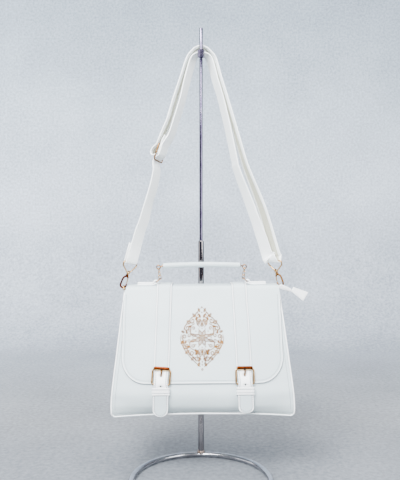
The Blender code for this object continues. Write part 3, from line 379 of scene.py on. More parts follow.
def angles(count, phase=0.0):
    """Evenly spaced angles of a full turn, the first one phase steps on."""
    return [2 * math.pi * (k + phase) / count for k in range(count)]


def squared(value, power):
    """Sine or cosine pulled toward a box, for a section with flat sides and soft corners."""
    return math.copysign(abs(value) ** power, value)


def smooth_lookup(table, height, column=1):
    """Value of a column at a height, by cubic interpolation that never overshoots."""
    rows = sorted((row[0], row[column]) for row in table)
    height = min(max(height, rows[0][0]), rows[-1][0])
    steps = [(b[1] - a[1]) / (b[0] - a[0]) for a, b in zip(rows, rows[1:])]
    slopes = [steps[0]]
    for before, after in zip(steps, steps[1:]):
        same_way = before * after > 0
        slopes.append(2.0 * before * after / (before + after) if same_way else 0.0)
    slopes.append(steps[-1])
    for i in range(len(steps)):
        if height <= rows[i + 1][0]:
            span = rows[i + 1][0] - rows[i][0]
            t = (height - rows[i][0]) / span
            rise = t * t * (3 - 2 * t)
            start = rows[i][1] * (1 - rise) + rows[i + 1][1] * rise
            bend = slopes[i] * t * (1 - t) ** 2 - slopes[i + 1] * t * t * (1 - t)
            return start + bend * span
    return rows[-1][1]


def half_width(z):
    return smooth_lookup(SIDE_SHAPE, z)


# Unevenness of the front, and the calm patches round the buckles
SWELL = 1.1
CALM_X = 65.0
CALM_WIDE = 24.0
CALM_TOP = 235.0
CALM_FADE = 35.0


def swell(x, z):
    """Slow unevenness that every layer of the front shares; it dies out at the buckles."""
    calm = 1.0 - math.exp(-((abs(x) - CALM_X) / CALM_WIDE) ** 2) * unit((CALM_TOP - z) / CALM_FADE)
    broad = noise.noise(Vector((x / 62.0, z / 48.0, 3.1)))
    fine = noise.noise(Vector((x / 27.0, z / 24.0, 8.4)))
    return SWELL * (broad + 0.4 * fine) * calm


def front_reach(x, z):
    share = min(abs(x) / half_width(z), 1.0)
    power = 4 if z > 118 else 2
    fall = smooth_lookup(FRONT_SHAPE, z, 2) * share ** power
    return smooth_lookup(FRONT_SHAPE, z) - fall + swell(x, z)


def front_point(x, z, off=0.0):
    """Point on the bag's front, moved outward along the surface normal."""
    base = Vector((x, -front_reach(x, z), z))
    along_x = Vector((1.0, -front_reach(x + 0.5, z) + front_reach(x - 0.5, z), 0.0))
    along_z = Vector((0.0, -front_reach(x, z + 0.5) + front_reach(x, z - 0.5), 1.0))
    return base + along_x.cross(along_z).normalized() * off


def tilt(point):
    """From the bag's own frame to the stand's."""
    x, z = BAG_PIVOT
    rise = point.z - z
    return Vector((
        x + point.x * math.cos(BAG_TILT) - rise * math.sin(BAG_TILT),
        point.y,
        z + rise * math.cos(BAG_TILT) + point.x * math.sin(BAG_TILT),
    ))


def fillet(points, radii, steps=8, closed=False):
    """Polyline with its corners turned to arcs; radius 0 keeps a corner."""
    rounded = []
    count = len(points)
    for i, (p, r) in enumerate(zip(points, radii)):
        if r == 0 or (not closed and i in (0, count - 1)):
            rounded.append(p)
            continue
        a = (points[i - 1] - p).normalized()
        b = (points[(i + 1) % count] - p).normalized()
        half = a.angle(b) / 2
        centre = p + (a + b).normalized() * (r / math.sin(half))
        start = p + a * (r / math.tan(half)) - centre
        end = p + b * (r / math.tan(half)) - centre
        for k in range(steps + 1):
            rounded.append(centre + start.slerp(end, k / steps).normalized() * r)
    return rounded


def spline(points, step):
    """Catmull-Rom curve through the points, with a station about every step millimetres."""
    curve = []
    ends = [points[0] * 2 - points[1]] + list(points) + [points[-1] * 2 - points[-2]]
    for a, b, c, d in zip(ends, ends[1:], ends[2:], ends[3:]):
        count = max(1, round((c - b).length / step))
        for k in range(count):
            t = k / count
            curve.append(0.5 * (2 * b + (c - a) * t + (2 * a - 5 * b + 4 * c - d) * t * t
                                + (3 * b - a - 3 * c + d) * t ** 3))
    curve.append(points[-1])
    return curve


def even(points, step, closed=False):
    """The polyline again, with stations spaced evenly."""
    line = list(points) + ([points[0]] if closed else [])
    total = sum((b - a).length for a, b in zip(line, line[1:]))
    count = max(2, round(total / step))
    found = []
    gone = 0.0
    index = 0
    for k in range(count + (0 if closed else 1)):
        want = total * k / count
        while index < len(line) - 2 and gone + (line[index + 1] - line[index]).length < want:
            gone += (line[index + 1] - line[index]).length
            index += 1
        span = (line[index + 1] - line[index]).length
        found.append(line[index].lerp(line[index + 1], min((want - gone) / max(span, 1e-9), 1.0)))
    return found


def tangents(points, closed=False):
    count = len(points)
    found = []
    for i in range(count):
        after = points[(i + 1) % count] if closed else points[min(i + 1, count - 1)]
        before = points[i - 1] if closed else points[max(i - 1, 0)]
        found.append((after - before).normalized())
    return found


def as_list(value, count):
    return list(value) if isinstance(value, (list, tuple)) else [value] * count


def skin(rings, closed=False):
    """Points and faces of a body through matching rings."""
    size = len(rings[0])
    points = [p for ring in rings for p in ring]
    faces = []
    for i in range(len(rings) if closed else len(rings) - 1):
        j = (i + 1) % len(rings)
        for k in range(size):
            m = (k + 1) % size
            faces.append((i * size + k, j * size + k, j * size + m, i * size + m))
    if not closed:
        faces.append(tuple(range(size)))
        last = (len(rings) - 1) * size
        faces.append(tuple(last + k for k in reversed(range(size))))
    return points, faces


def rod(points, radius, ref, closed=False, sides=16):
    """Round section swept along points; ref is a direction the path never follows."""
    rings = []
    for p, t, r in zip(points, tangents(points, closed), as_list(radius, len(points))):
        side = t.cross(ref).normalized()
        up = side.cross(t)
        rings.append([p + side * (r * math.cos(a)) + up * (r * math.sin(a)) for a in angles(sides, 0.5)])
    return skin(rings, closed)


def blunt(points, radius):
    """Radii that round off both ends of a rod, and its stations with two more at each end."""
    a, b = points[0], points[-1]
    into = (points[1] - a).normalized()
    out = (points[-2] - b).normalized()
    # Distance from the end and size, as shares of the radius
    steps = ((0.0, 0.35), (0.12, 0.72), (0.4, 0.93))
    head = [a + into * (radius * gone) for gone, size in steps]
    tail = [b + out * (radius * gone) for gone, size in reversed(steps)]
    inner = [p for p in points[1:-1] if (p - a).length > radius * 0.5 and (p - b).length > radius * 0.5]
    ends = [radius * size for gone, size in steps]
    return head + inner + tail, ends + [radius] * len(inner) + ends[::-1]


def face_axes(along, across):
    """Directions across a strip and out of its face, square to the way it runs."""
    flat = (across - along * across.dot(along)).normalized()
    return flat, along.cross(flat).normalized()


def edge_section(thick, inset=2.0, groove=0.14, crown=0.15):
    """Half outline of a leather strip: round edge, stitch groove, slight crown. Rows: inset, height."""
    h = thick / 2
    return [(0.0, 0.0), (0.12, h * 0.5), (0.45, h * 0.86), (1.0, h), (inset - 0.35, h), (inset, h - groove),
            (inset + 0.35, h), (inset + 1.6, h + crown * 0.6)]


def strip(points, across, width, thick, closed=False, section=None, crown=0.15):
    """Leather strip swept along points; across gives the direction of its width."""
    widths = as_list(width, len(points))
    directions = across if isinstance(across, list) else [across] * len(points)
    half = section or edge_section(thick, crown=crown)
    rings = []
    for p, t, a, w in zip(points, tangents(points, closed), directions, widths):
        flat, up = face_axes(t, a)
        fit = min(1.0, w / 2 / (half[-1][0] + 0.4))
        top = [(w / 2 - d * fit, v) for d, v in half]
        outline = top + [(0.0, thick / 2 + crown)] + [(-u, v) for u, v in reversed(top)]
        under = [(-u, -min(v, thick / 2)) for u, v in top[1:]] + [(0.0, -thick / 2)]
        outline += under + [(u, -min(v, thick / 2)) for u, v in reversed(top[1:])]
        rings.append([p + flat * u + up * v for u, v in outline])
    return skin(rings, closed)


# Looks round a strip with the usual edge: 1, the painted highlight, on its edge bands; 2 in its grooves, as
# painted shade, and on its cut edges, as edge paint with painted shadow
EDGE_MARKS = [2] * 2 + [1] * 2 + [2] * 2 + [0] * 4 + [2] * 2 + [1] * 2 + [2] * 2 + [0] * 16


def turned(profile, foot, axis, sides=24):
    """Profile of (radius, height) turned about an axis; it starts and ends on the axis, or is a ring."""
    axis = Vector(axis).normalized()
    side = axis.orthogonal().normalized()
    other = axis.cross(side)
    pointed = profile[0][0] == 0
    body = profile[1:-1] if pointed else profile
    points = []
    for radius, height in body:
        for a in angles(sides, 0.5):
            points.append(Vector(foot) + axis * height + (side * math.cos(a) + other * math.sin(a)) * radius)
    faces = []
    for i in range(len(body) - 1 if pointed else len(body)):
        j = (i + 1) % len(body)
        for k in range(sides):
            m = (k + 1) % sides
            faces.append((i * sides + k, i * sides + m, j * sides + m, j * sides + k))
    if pointed:
        faces.append(tuple(reversed(range(sides))))
        faces.append(tuple((len(body) - 1) * sides + k for k in range(sides)))
    return points, faces


def cylinder(radius, start, end, sides=20):
    run = Vector(end) - Vector(start)
    soft = min(radius * 0.25, run.length * 0.2)
    long = run.length
    profile = [(0, 0), (radius - soft, 0), (radius, soft)]
    profile += [(radius, long - soft), (radius - soft, long), (0, long)]
    return turned(profile, start, run, sides)


def slab(outer, inner):
    """Closed sheet between two matching grids of points."""
    rows = len(outer)
    cols = len(outer[0])
    far = rows * cols
    points = [p for row in outer for p in row] + [p for row in inner for p in row]
    faces = []
    for r in range(rows - 1):
        for c in range(cols - 1):
            a = r * cols + c
            faces.append((a, a + 1, a + cols + 1, a + cols))
            faces.append((far + a, far + a + cols, far + a + cols + 1, far + a + 1))
    rim = list(range(cols - 1))
    rim += [r * cols + cols - 1 for r in range(rows - 1)]
    rim += [(rows - 1) * cols + c for c in range(cols - 1, 0, -1)]
    rim += [r * cols for r in range(rows - 1, 0, -1)]
    for a, b in zip(rim, rim[1:] + rim[:1]):
        faces.append((b, a, far + a, far + b))
    return points, faces


def shifted(grid, distance):
    """Grid moved along its own normals."""
    rows = len(grid)
    cols = len(grid[0])
    moved = []
    for r in range(rows):
        line = []
        for c in range(cols):
            down = grid[min(r + 1, rows - 1)][c] - grid[max(r - 1, 0)][c]
            right = grid[r][min(c + 1, cols - 1)] - grid[r][max(c - 1, 0)]
            line.append(grid[r][c] + right.cross(down).normalized() * distance)
        moved.append(line)
    return moved


def piece(
    name, looks, parts, nodes=(), slot=None, body="root", on_bag=True, crease=38.0, rim=0.0, marks=None
):
    """One shown object from several bodies of points and faces; marks gives each face its look."""
    points = []
    faces = []
    for some_points, some_faces in parts:
        base = len(points)
        points += [(tilt(p) if on_bag else p) * MM for p in some_points]
        volume = 0.0
        for face in some_faces:
            for b, c in zip(face[1:], face[2:]):
                volume += some_points[face[0]].dot(some_points[b].cross(some_points[c]))
        for face in some_faces:
            turned_face = tuple(base + k for k in face)
            faces.append(turned_face[::-1] if volume < 0 else turned_face)
    mesh = bpy.data.meshes.new(name)
    mesh.from_pydata(points, [], faces)
    for look in as_list(looks, 1):
        mesh.materials.append(look)
    if marks:
        for face, mark in zip(mesh.polygons, marks):
            face.material_index = mark
    mesh.shade_smooth()
    mesh.set_sharp_from_angle(angle=math.radians(crease))
    made = bpy.data.objects.new(name, mesh)
    bpy.context.scene.collection.objects.link(made)
    if rim:
        bevel = made.modifiers.new("rim", "BEVEL")
        bevel.width = rim * MM
        bevel.segments = 3
        bevel.limit_method = "ANGLE"
        bevel.angle_limit = math.radians(50.0)
    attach(made, body)
    if nodes:
        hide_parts(*nodes)
    return made


def leather_piece(node, looks, parts, **more):
    """White leather in place of one CAD node."""
    return piece(f"{node}_leather", looks, parts, [node], "white_leather", **more)


def gold_piece(node, looks, parts, **more):
    """Rose gold in place of one CAD node."""
    return piece(f"{node}_metal", looks, parts, [node], "rose_gold", **more)


def sewn_piece(name, look, stitches, slot="white_leather", on_bag=True):
    """Stitches as a piece of their own."""
    return piece(name, look, stitches, slot=slot, crease=80.0, on_bag=on_bag)


def stitch_row(line, normals, pitch=3.3, long=2.4, wide=0.75, high=0.32, lift=0.1):
    """Sewn stitches along a line that lies on a surface."""
    found = []
    total = sum((b - a).length for a, b in zip(line, line[1:]))
    gone = 0.0
    want = pitch / 2
    for i in range(len(line) - 1):
        span = (line[i + 1] - line[i]).length
        while want <= gone + span and want < total - pitch * 0.3:
            part = (want - gone) / max(span, 1e-9)
            centre = line[i].lerp(line[i + 1], part)
            along = (line[i + 1] - line[i]).normalized()
            normal = normals[i].lerp(normals[i + 1], part)
            normal = (normal - along * normal.dot(along)).normalized()
            side = along.cross(normal)
            rings = []
            for place, size, sink in ((-0.5, 0.3, 0.5), (-0.3, 0.9, 0.0), (0.3, 0.9, 0.0), (0.5, 0.3, 0.5)):
                middle = centre + along * (long * place) + normal * (lift - sink * high)
                half, tall = wide / 2 * size, high * size
                rings.append([
                    middle + side * (half * math.cos(a)) + normal * (tall * math.sin(a)) for a in angles(6)
                ])
            found.append(skin(rings))
            want += pitch
        gone += span
    return found


def sew_flat(line, normal, **more):
    """Stitches along a line on a flat face."""
    return stitch_row(line, [normal] * len(line), **more)


def bottom_corner(z):
    """How far the outline draws in near the bottom corners."""
    left = min(CORNER_R - (z - BOTTOM), CORNER_R)
    return 0.0 if left <= 0 else CORNER_R - math.sqrt(CORNER_R ** 2 - left ** 2)


def lift(share, z):
    """Rise of the bottom edge toward the middle."""
    fade = max(0.0, 1.0 - (z - BOTTOM) / 25.0)
    return BOTTOM_LIFT * (1 - share ** 2) * fade ** 2


def panel_half(z):
    return half_width(z) - 2.9 - bottom_corner(z)


def heights(top, bottom, step, corner=0.0):
    """Rows down a face, closer together round a corner at the bottom."""
    found = []
    z = top
    while z > bottom + corner + step * 0.6:
        found.append(z)
        z -= step
    turns = 10 if corner else 0
    for k in range(turns + 1):
        a = math.pi / 2 * k / max(turns, 1)
        found.append(bottom + corner * (1 - math.sin(a)))
    return found


def ruck(x, z, seed, size, amount):
    return amount * noise.noise(Vector((x / size, z / size, seed)))


# Panels: shares of the half width, and where each facing ends at the zip
PANEL_COLS = 72
SHARES = [2.0 * k / PANEL_COLS - 1.0 for k in range(PANEL_COLS + 1)]
ROW_STEP = 3.0
FRONT_FACING_Y = -50.3
BACK_FACING_Y = -23.7
FRONT_TOP_R = 7.0
BACK_TOP_R = 4.0
PANEL_RIM = 0.5
SEAM_INSET = 4.4


def sheet(name, look, columns, thick, node, rim):
    """Leather sheet whose outer face is given as columns from top to bottom."""
    outer = [list(row) for row in zip(*columns)]
    piece(name, look, [slab(outer, shifted(outer, thick))], [node], "white_leather", rim=rim)


def front_panel():
    columns = []
    for share in SHARES:
        x = share * panel_half(FACING_TOP)
        ends = (FRONT_FACING_Y, -front_reach(x, FACING_TOP))
        corners = [Vector((x, y, FACING_TOP)) for y in ends]
        for z in heights(289.0, BOTTOM, ROW_STEP, CORNER_R):
            x = share * panel_half(z)
            height = z + lift(share, z)
            corners.append(Vector((x, -front_reach(x, height), height)))
        columns.append(fillet(corners, [0, FRONT_TOP_R] + [0] * (len(corners) - 2), 6))
    sheet("front_leather", FRONT, columns, WALL, "front_panel", PANEL_RIM)


def back_panel():
    columns = []
    for share in SHARES:
        x = share * panel_half(FACING_TOP)
        corners = [Vector((x, y, FACING_TOP)) for y in (BACK_FACING_Y, BACK_Y)]
        for z in heights(293.0, BOTTOM, ROW_STEP, CORNER_R):
            x = share * panel_half(z)
            belly = math.sin(math.pi * unit((z - BOTTOM) / 190.0)) * (1 - share ** 4)
            y = BACK_Y + belly * (0.9 * min(z - BOTTOM, 20.0) / 20.0 + ruck(x, z, 20.5, 52.0, 1.2))
            corners.append(Vector((x, y, z)))
        columns.append(fillet(corners, [0, BACK_TOP_R] + [0] * (len(corners) - 2), 6))
    sheet("back_leather", WHITE, columns, -WALL, "back_panel", PANEL_RIM)


front_panel()
back_panel()


def gusset_point(side, z, part, deep):
    """part runs from the front edge to the back edge; deep is the distance in from the outer face."""
    edge = half_width(z) - 0.6 - bottom_corner(z)
    front = -front_reach(edge, z) + 3.0 + max(0.0, 125.0 - z) * 0.06
    back = BACK_Y - WALL - 0.9
    upper = max(0.0, (z - 150.0) / 148.5)
    drawn = 4.0 * upper * math.sin(math.pi * part)
    held = math.sin(math.pi * part) ** 0.7
    fold = 0.9 * upper * math.exp(-((part - 0.5) / 0.05) ** 2)
    drawn += held * (ruck(part * 90.0, z, 40.0 + side, 34.0, 1.3) + fold)
    x = edge - drawn
    normal_x = 1.0 if z >= BOTTOM + CORNER_R else max(0.0, (z - BOTTOM) / CORNER_R)
    normal_z = math.sqrt(1 - normal_x ** 2)
    return Vector((side * (x - deep * normal_x), front + (back - front) * part, z + deep * normal_z))


def gusset(name, side):
    parts = [k / 36 for k in range(37)]
    rows = heights(299.9, 105.7, 3.2, CORNER_R)
    faces = [[[gusset_point(side, z, part, deep) for part in parts] for z in rows] for deep in (0.0, WALL)]
    leather_piece(f"gusset_{name}", WHITE, [slab(*faces)], rim=PANEL_RIM)


def base_panel():
    """Bottom of the bag, which sags a little in the middle."""
    half = panel_half(BOTTOM) - 1.2
    outer = []
    for k in range(25):
        part = k / 24
        row = []
        for share in SHARES:
            x = share * half
            z = BOTTOM + lift(share, BOTTOM)
            front = -front_reach(x, z) + 1.2
            y = front + (BACK_Y - 2.9 - front) * part
            sag = math.sin(math.pi * part) * (1 - share ** 4) * (0.5 + ruck(x, y, 60.0, 45.0, 1.0))
            row.append((x, y, z + (BOTTOM - z) * part - WALL - 0.3 - max(sag, 0.0)))
        outer.append(row)
    faces = [[[Vector((x, y, z + up)) for x, y, z in row] for row in outer] for up in (0.0, WALL)]
    piece("base_leather", WHITE, [slab(*faces)], ["base_panel"], "white_leather", rim=PANEL_RIM)


for name, side in SIDES:
    gusset(name, side)
base_panel()


def seam_path(y_of, top, rise, step):
    """Cord line just outside the panel's edge: down the left side, along the bottom, up the right."""
    out = PIPING_R + 0.4
    half = []
    z = top
    while z > BOTTOM + CORNER_R + 1.0:
        half.append((panel_half(z) + out, z))
        z -= step
    corner_x = panel_half(BOTTOM + CORNER_R) - CORNER_R
    for k in range(0, 11):
        a = math.pi / 2 * k / 10
        reach = CORNER_R + out
        half.append((corner_x + reach * math.cos(a), BOTTOM + CORNER_R - reach * math.sin(a)))
    count = int(corner_x / step)
    for k in range(count - 1, 0, -1):
        half.append((corner_x * k / count, BOTTOM - out + rise * (1 - (k / count) ** 2)))
    whole = [(-x, z) for x, z in half] + [(0.0, BOTTOM - out + rise)] + half[::-1]
    return [Vector((x, y_of(x, z), z)) for x, z in whole]


def front_seam_y(x, z):
    edge = min(abs(x), panel_half(max(z, BOTTOM)))
    height = max(z, BOTTOM + lift(edge / panel_half(BOTTOM), BOTTOM))
    tucked = unit((z - 240.0) / 30.0)
    return -front_reach(math.copysign(edge, x), height) - (0.3 if z > 116 else 0.9) + 1.8 * tucked


def piping(name, y_of, top, rise, sides=12):
    """Corded seam round a panel, in the painted highlight; along the bottom, the part that faces down has the
    plain white look.
    """
    path = seam_path(y_of, top, rise, 4.0)
    smooth = [path[0]] + [(a + b * 2 + c) / 4 for a, b, c in zip(path, path[1:], path[2:])] + [path[-1]]
    path, sizes = blunt(smooth, PIPING_R)
    marks = []
    for p in path[:-1]:
        marks += [1 if p.z < BOTTOM + 1.0 and 2 <= k < 9 else 0 for k in range(sides)]
    marks += [0, 0]
    cord = rod(path, sizes, BACKWARD, sides=sides)
    looks = [LIT_WHITE, WHITE]
    piece(f"{name}_piping_cord", looks, [cord], [f"{name}_piping"], "white_leather", marks=marks)


piping("front", front_seam_y, 295.4, BOTTOM_LIFT)
piping("back", lambda x, z: BACK_Y - PIPING_R, 297.4, 0.0)


def flap_half(z):
    drop = min(max(FLAP_BOTTOM + FLAP_CORNER - z, 0.0), FLAP_CORNER)
    return FLAP_HALF - FLAP_CORNER + math.sqrt(FLAP_CORNER ** 2 - drop ** 2)


def flap_x(share, z):
    """Place across the flap, whose left edge draws in near the top."""
    drawn = FLAP_DRAWN * unit((z - 283.0) / 15.0) if share < 0 else 0.0
    return share * (flap_half(z) - drawn)


# Rows whose slope carries the front up to the top, and the two bends there
TOP_ROWS = (298.0, 290.0)
TOP_REAR_R = 6.0
TOP_FRONT_R = 8.0


def over_bag(x_at, off, rows, offs, start_z=FLAP_REAR_Z):
    """Line from the rear, over the top and down the front, off millimetres outside the flap."""
    x = x_at(FLAP_TOP)
    top = FLAP_TOP + off
    corners = [Vector((x, FLAP_REAR_Y + off, start_z)), Vector((x, FLAP_REAR_Y + off, top))]
    head, low = (front_point(x, z, FLAP_LIFT + off) for z in TOP_ROWS)
    lean = (low.y - head.y) / (low.z - head.z)
    corners.append(Vector((x, head.y + lean * (top - head.z), top)))
    for z, d in zip(rows, offs):
        corners.append(front_point(x_at(z), z, FLAP_LIFT + d))
    line = fillet(corners, [0, TOP_REAR_R + off, TOP_FRONT_R + off] + [0] * len(rows), 6)
    fine = []
    for a, b in zip(line, line[1:]):
        count = max(1, round((b - a).length / 4.0))
        fine += [a.lerp(b, k / count) for k in range(count)]
    return fine + [line[-1]]


def flap():
    """One sheet from the rear, over the top and down the front."""
    rows = heights(288.0, FLAP_BOTTOM, ROW_STEP, FLAP_CORNER)
    columns = []
    for share in SHARES:
        line = over_bag(lambda z: flap_x(share, z), 0.0, rows, [0.0] * len(rows))
        columns.append(even(line, sum((b - a).length for a, b in zip(line, line[1:])) / 96))
    sheet("flap_leather", WHITE, columns, FLAP_THICK, "flap", 0.6)


flap()


def border(half_at, bottom, corner, inset, top, step=2.5):
    """Line inset from an edge with round lower corners: down the left, along the bottom, up the right."""
    half = []
    z = top
    while z > bottom + corner:
        half.append((half_at(z) - inset, z))
        z -= step
    middle = half_at(bottom + corner) - corner
    reach = corner - inset
    for k in range(1, 15):
        a = math.pi / 2 * k / 14
        half.append((middle + reach * math.cos(a), bottom + corner - reach * math.sin(a)))
    count = int(middle / step)
    half += [(middle * k / count, bottom + inset) for k in range(count - 1, 0, -1)]
    return [(-x, z) for x, z in half] + [(0.0, bottom + inset)] + half[::-1]


def sew_front(name, rows, off):
    """Stitches on the front along rows of x and z, off millimetres outside the panel."""
    line = [front_point(x, z, off) for x, z in rows]
    normals = [(front_point(x, z, off + 1.0) - p).normalized() for (x, z), p in zip(rows, line)]
    sewn_piece(name, STITCH_SHADE, stitch_row(line, normals, wide=0.95))


def edge_line(name, look, inset, off, radius):
    """Bead along the flap's edge, off millimetres outside the panel."""
    line = [front_point(x, z, off) for x, z in border(flap_half, FLAP_BOTTOM, FLAP_CORNER, inset, 283.0)]
    path, sizes = blunt(line, radius)
    piece(name, look, [rod(path, sizes, BACKWARD, sides=10)], slot="white_leather")


def sew_panels():
    """Stitches near the edges of the flap and of the front and back panels."""
    sew_front("flap_stitches", border(flap_half, FLAP_BOTTOM, FLAP_CORNER, 4.2, 292.0), FLAP_LIFT)
    rows = [(-panel_half(z) + SEAM_INSET, z) for z in heights(292.0, 112.0, 2.5)]
    sew_front("front_left_stitches", rows, 0.0)
    sew_front("front_right_stitches", [(-x, z) for x, z in rows], 0.0)
    rows = [(panel_half(z) - SEAM_INSET, z) for z in heights(288.0, 114.0, 2.5)]
    lines = [[Vector((way * x, BACK_Y, z)) for x, z in rows] for way in (-1, 1)]
    lines.append([Vector((x, BACK_Y, BOTTOM + SEAM_INSET)) for x in range(-132, 133, 3)])
    sewn_piece("back_stitches", STITCH_SHADE, [body for line in lines for body in sew_flat(line, BACKWARD)])
    line = [Vector((x, FLAP_REAR_Y, FLAP_REAR_Z + 4.0)) for x in range(-124, 125, 4)]
    sewn_piece("flap_rear_stitches", STITCH_SHADE, sew_flat(line, BACKWARD))


# Painted highlight on a bead along the flap's edge, and under it edge paint with painted shadow
edge_line("flap_edge_bead_highlight", LIT_WHITE, 0.9, FLAP_LIFT, 0.48)
edge_line("flap_edge_paint_and_shadow", SHADE_AND_EDGE_PAINT, -0.2, FLAP_LIFT - FLAP_THICK / 2, 0.8)
sew_panels()

# Height, distance of the belt's middle from the flap's face
BELT_LINE = (
    (320.0, 1.5),
    (184.5, 1.5),
    (176.5, 1.6),
    (172.0, 2.7),
    (168.0, 4.4),
    (162.5, 6.5),
    (157.0, 7.2),
    (153.0, 7.0),
    (150.0, 5.2),
    (147.0, 3.4),
    (138.0, 2.8),
    (100.0, 2.8),
)

# Height, width of the belt
BELT_WIDTHS = (
    (320.0, 25.0),
    (188.0, 25.0),
    (180.0, 24.2),
    (172.0, 22.2),
    (166.0, 21.4),
    (161.0, 21.2),
    (156.0, 22.2),
    (150.0, 24.2),
    (146.0, 24.5),
    (100.0, 24.5),
)
FRAME_X = {-1: 65.0, 1: 66.4}
BELT_SPREAD = {-1: 0.0242, 1: 0.0330}
FRAME_HALF = 14.0
FRAME_PIVOT_Z = 154.8
FRAME_TOP_Z = 177.6
FRAME_TURN = {-1: math.radians(4.0), 1: 0.0}
FRAME_TOP_HIGH = 3.2
FRAME_TOP_DEEP = 1.7
PIVOT_R = 1.15
PRONG_R = 1.35
COIL_R = 0.85
RING_SIDES = 44
PRONG_HOLE_Z = 167.5
BELT_HOLE = {-1: 152.1, 1: 153.5}
BELT_WIDE = 25.0
BELT_THICK = 2.4
BELT_FRONT_Y = -60.0
TIP_ROWS = 9
TIP_LONG = 10.0
TIP_POWER = {-1: 2.0, 1: 2.7}
SEAM_HIGH = 1.22
KEEPER_Z = 144.4
KEEPER_HIGH = 11.6
KEEPER_THICK = 1.0
CHAPE_WIDE = 20.0
CHAPE_THICK = 1.0
# Top of the belt's stretch with the painted highlight
HIGHLIGHT_TOP = 183.0


def belt_x(side, z):
    return side * (61.4 + BELT_SPREAD[side] * (FLAP_TOP - z))


def belt_front(side, z, off):
    """Point over a belt's line; below the fullest part of the bag it hangs straight."""
    held = max(z, 134.0)
    point = front_point(belt_x(side, held), held, FLAP_LIFT + off)
    return point + Vector((belt_x(side, z) - belt_x(side, held), 0.0, z - held))


def belt_middle(side, z):
    return belt_front(side, z, smooth_lookup(BELT_LINE, z))


def face_of(side, z):
    """Outward direction of the belt's face."""
    return ACROSS.cross(belt_middle(side, z + 1.5) - belt_middle(side, z - 1.5)).normalized()


def offset_rows(path, across, inset, widths, height):
    """Two lines inset from the edges of a strip, on its face, with the face's directions."""
    lines = ([], [])
    normals = []
    for p, t, w in zip(path, tangents(path), widths):
        flat, up = face_axes(t, across)
        normals.append(up)
        for line, way in zip(lines, (1, -1)):
            line.append(p + flat * (way * max(w / 2 - inset, 0.0)) + up * height)
    return lines, normals


def belt_path(side):
    """Stations of a belt from the rear to its rounded tip; the last TIP_ROWS are the rounding."""
    tip = BELT_TIP[side]
    rows = heights(284.0, 136.5, 2.2)
    path = over_bag(lambda z: belt_x(side, z), 1.5, rows, [smooth_lookup(BELT_LINE, z) for z in rows], 264.0)
    low_rows = [134.5 - 1.6 * k for k in range(40) if 134.5 - 1.6 * k > tip + 9.0]
    turns = [math.pi / 2 * k / TIP_ROWS for k in range(1, TIP_ROWS + 1)]
    tip_rows = [tip + TIP_LONG * (1 - math.sin(a)) for a in turns]
    return path + [belt_middle(side, z) for z in low_rows + tip_rows]


def on_front(p):
    return p.y < BELT_FRONT_Y


def belt_widths(side, path):
    """Width at each station, down to a round or a blunter tip."""
    power = TIP_POWER[side]
    widths = []
    for p in path:
        width = smooth_lookup(BELT_WIDTHS, p.z if on_front(p) else 300.0)
        near = unit((BELT_TIP[side] + TIP_LONG - p.z) / TIP_LONG) if on_front(p) else 0.0
        widths.append(max(width * (1 - near ** power) ** (1 / power), 1.2))
    return widths


def belt_hole(made, name, side, z, below, half_wide, half_high):
    """Oval hole cut into a belt to a depth below its middle."""
    middle = belt_middle(side, z)
    out = face_of(side, z)
    slot_up = out.cross(ACROSS).normalized()
    ring = [ACROSS * (half_wide * math.cos(a)) + slot_up * (half_high * math.sin(a)) for a in angles(24)]
    rings = [[middle + out * d + q for q in ring] for d in (-below, 3.0)]
    cutter = piece(f"cutter_{name}_{int(z)}", SHADOW, [skin(rings)])
    cutter.hide_render = True
    hole = made.modifiers.new("hole", "BOOLEAN")
    hole.operation = "DIFFERENCE"
    hole.solver = "EXACT"
    hole.material_mode = "TRANSFER"
    hole.object = cutter


def belt(name, side):
    path = belt_path(side)
    widths = belt_widths(side, path)
    section = edge_section(BELT_THICK, 3.0, 0.3, 0.1)
    body = strip(path, ACROSS, widths, BELT_THICK, section=section, crown=0.1)
    marks = []
    for p in path[:-1]:
        # The face from the keeper to just above the buckle, where the belt tilts up to the light, gets the
        # painted highlight
        lit_stretch = on_front(p) and KEEPER_Z < p.z < HIGHLIGHT_TOP
        marks += [1 if lit_stretch and mark == 0 else mark for mark in EDGE_MARKS]
    made = leather_piece(f"belt_{name}", [WHITE, LIT_WHITE, SHADE_AND_EDGE_PAINT], [body], crease=50.0, marks=marks)
    belt_hole(made, name, side, PRONG_HOLE_Z, 3.0, 1.6, 3.2)
    belt_hole(made, name, side, BELT_HOLE[side], 0.9, 1.35, 1.5)

    # Stitches down one edge, round the tip and up the other
    lines, normals = offset_rows(path[:-TIP_ROWS], ACROSS, 1.9, widths[:-TIP_ROWS], SEAM_HIGH)
    turn = []
    turn_normals = []
    for k in range(1, 12):
        a = math.pi * k / 12
        z = BELT_TIP[side] + 11.0 - 8.4 * math.sin(a)
        out = face_of(side, z)
        turn.append(belt_middle(side, z) + ACROSS * (9.65 * math.cos(a)) + out * SEAM_HIGH)
        turn_normals.append(out)
    whole = lines[0] + turn + lines[1][::-1]
    sewn_piece(f"belt_{name}_stitches", STITCH_SHADE, stitch_row(whole, normals + turn_normals + normals[::-1]))


def frame_axes(side):
    """Buckle frame's middle and height, and directions across, up and out of it."""
    pivot = belt_front(side, FRAME_PIVOT_Z, 2.95)
    head = belt_front(side, FRAME_TOP_Z, 3.1 + FRAME_TOP_DEEP)
    pivot.x = head.x = side * FRAME_X[side]
    rise = head - pivot
    tall = rise.length
    straight = rise.normalized()
    outward = ACROSS.cross(straight)
    lean = FRAME_TURN[side]
    sideways = ACROSS * math.cos(lean) - straight * math.sin(lean)
    upward = straight * math.cos(lean) + ACROSS * math.sin(lean)
    return pivot + rise * 0.5, tall, sideways, upward, outward


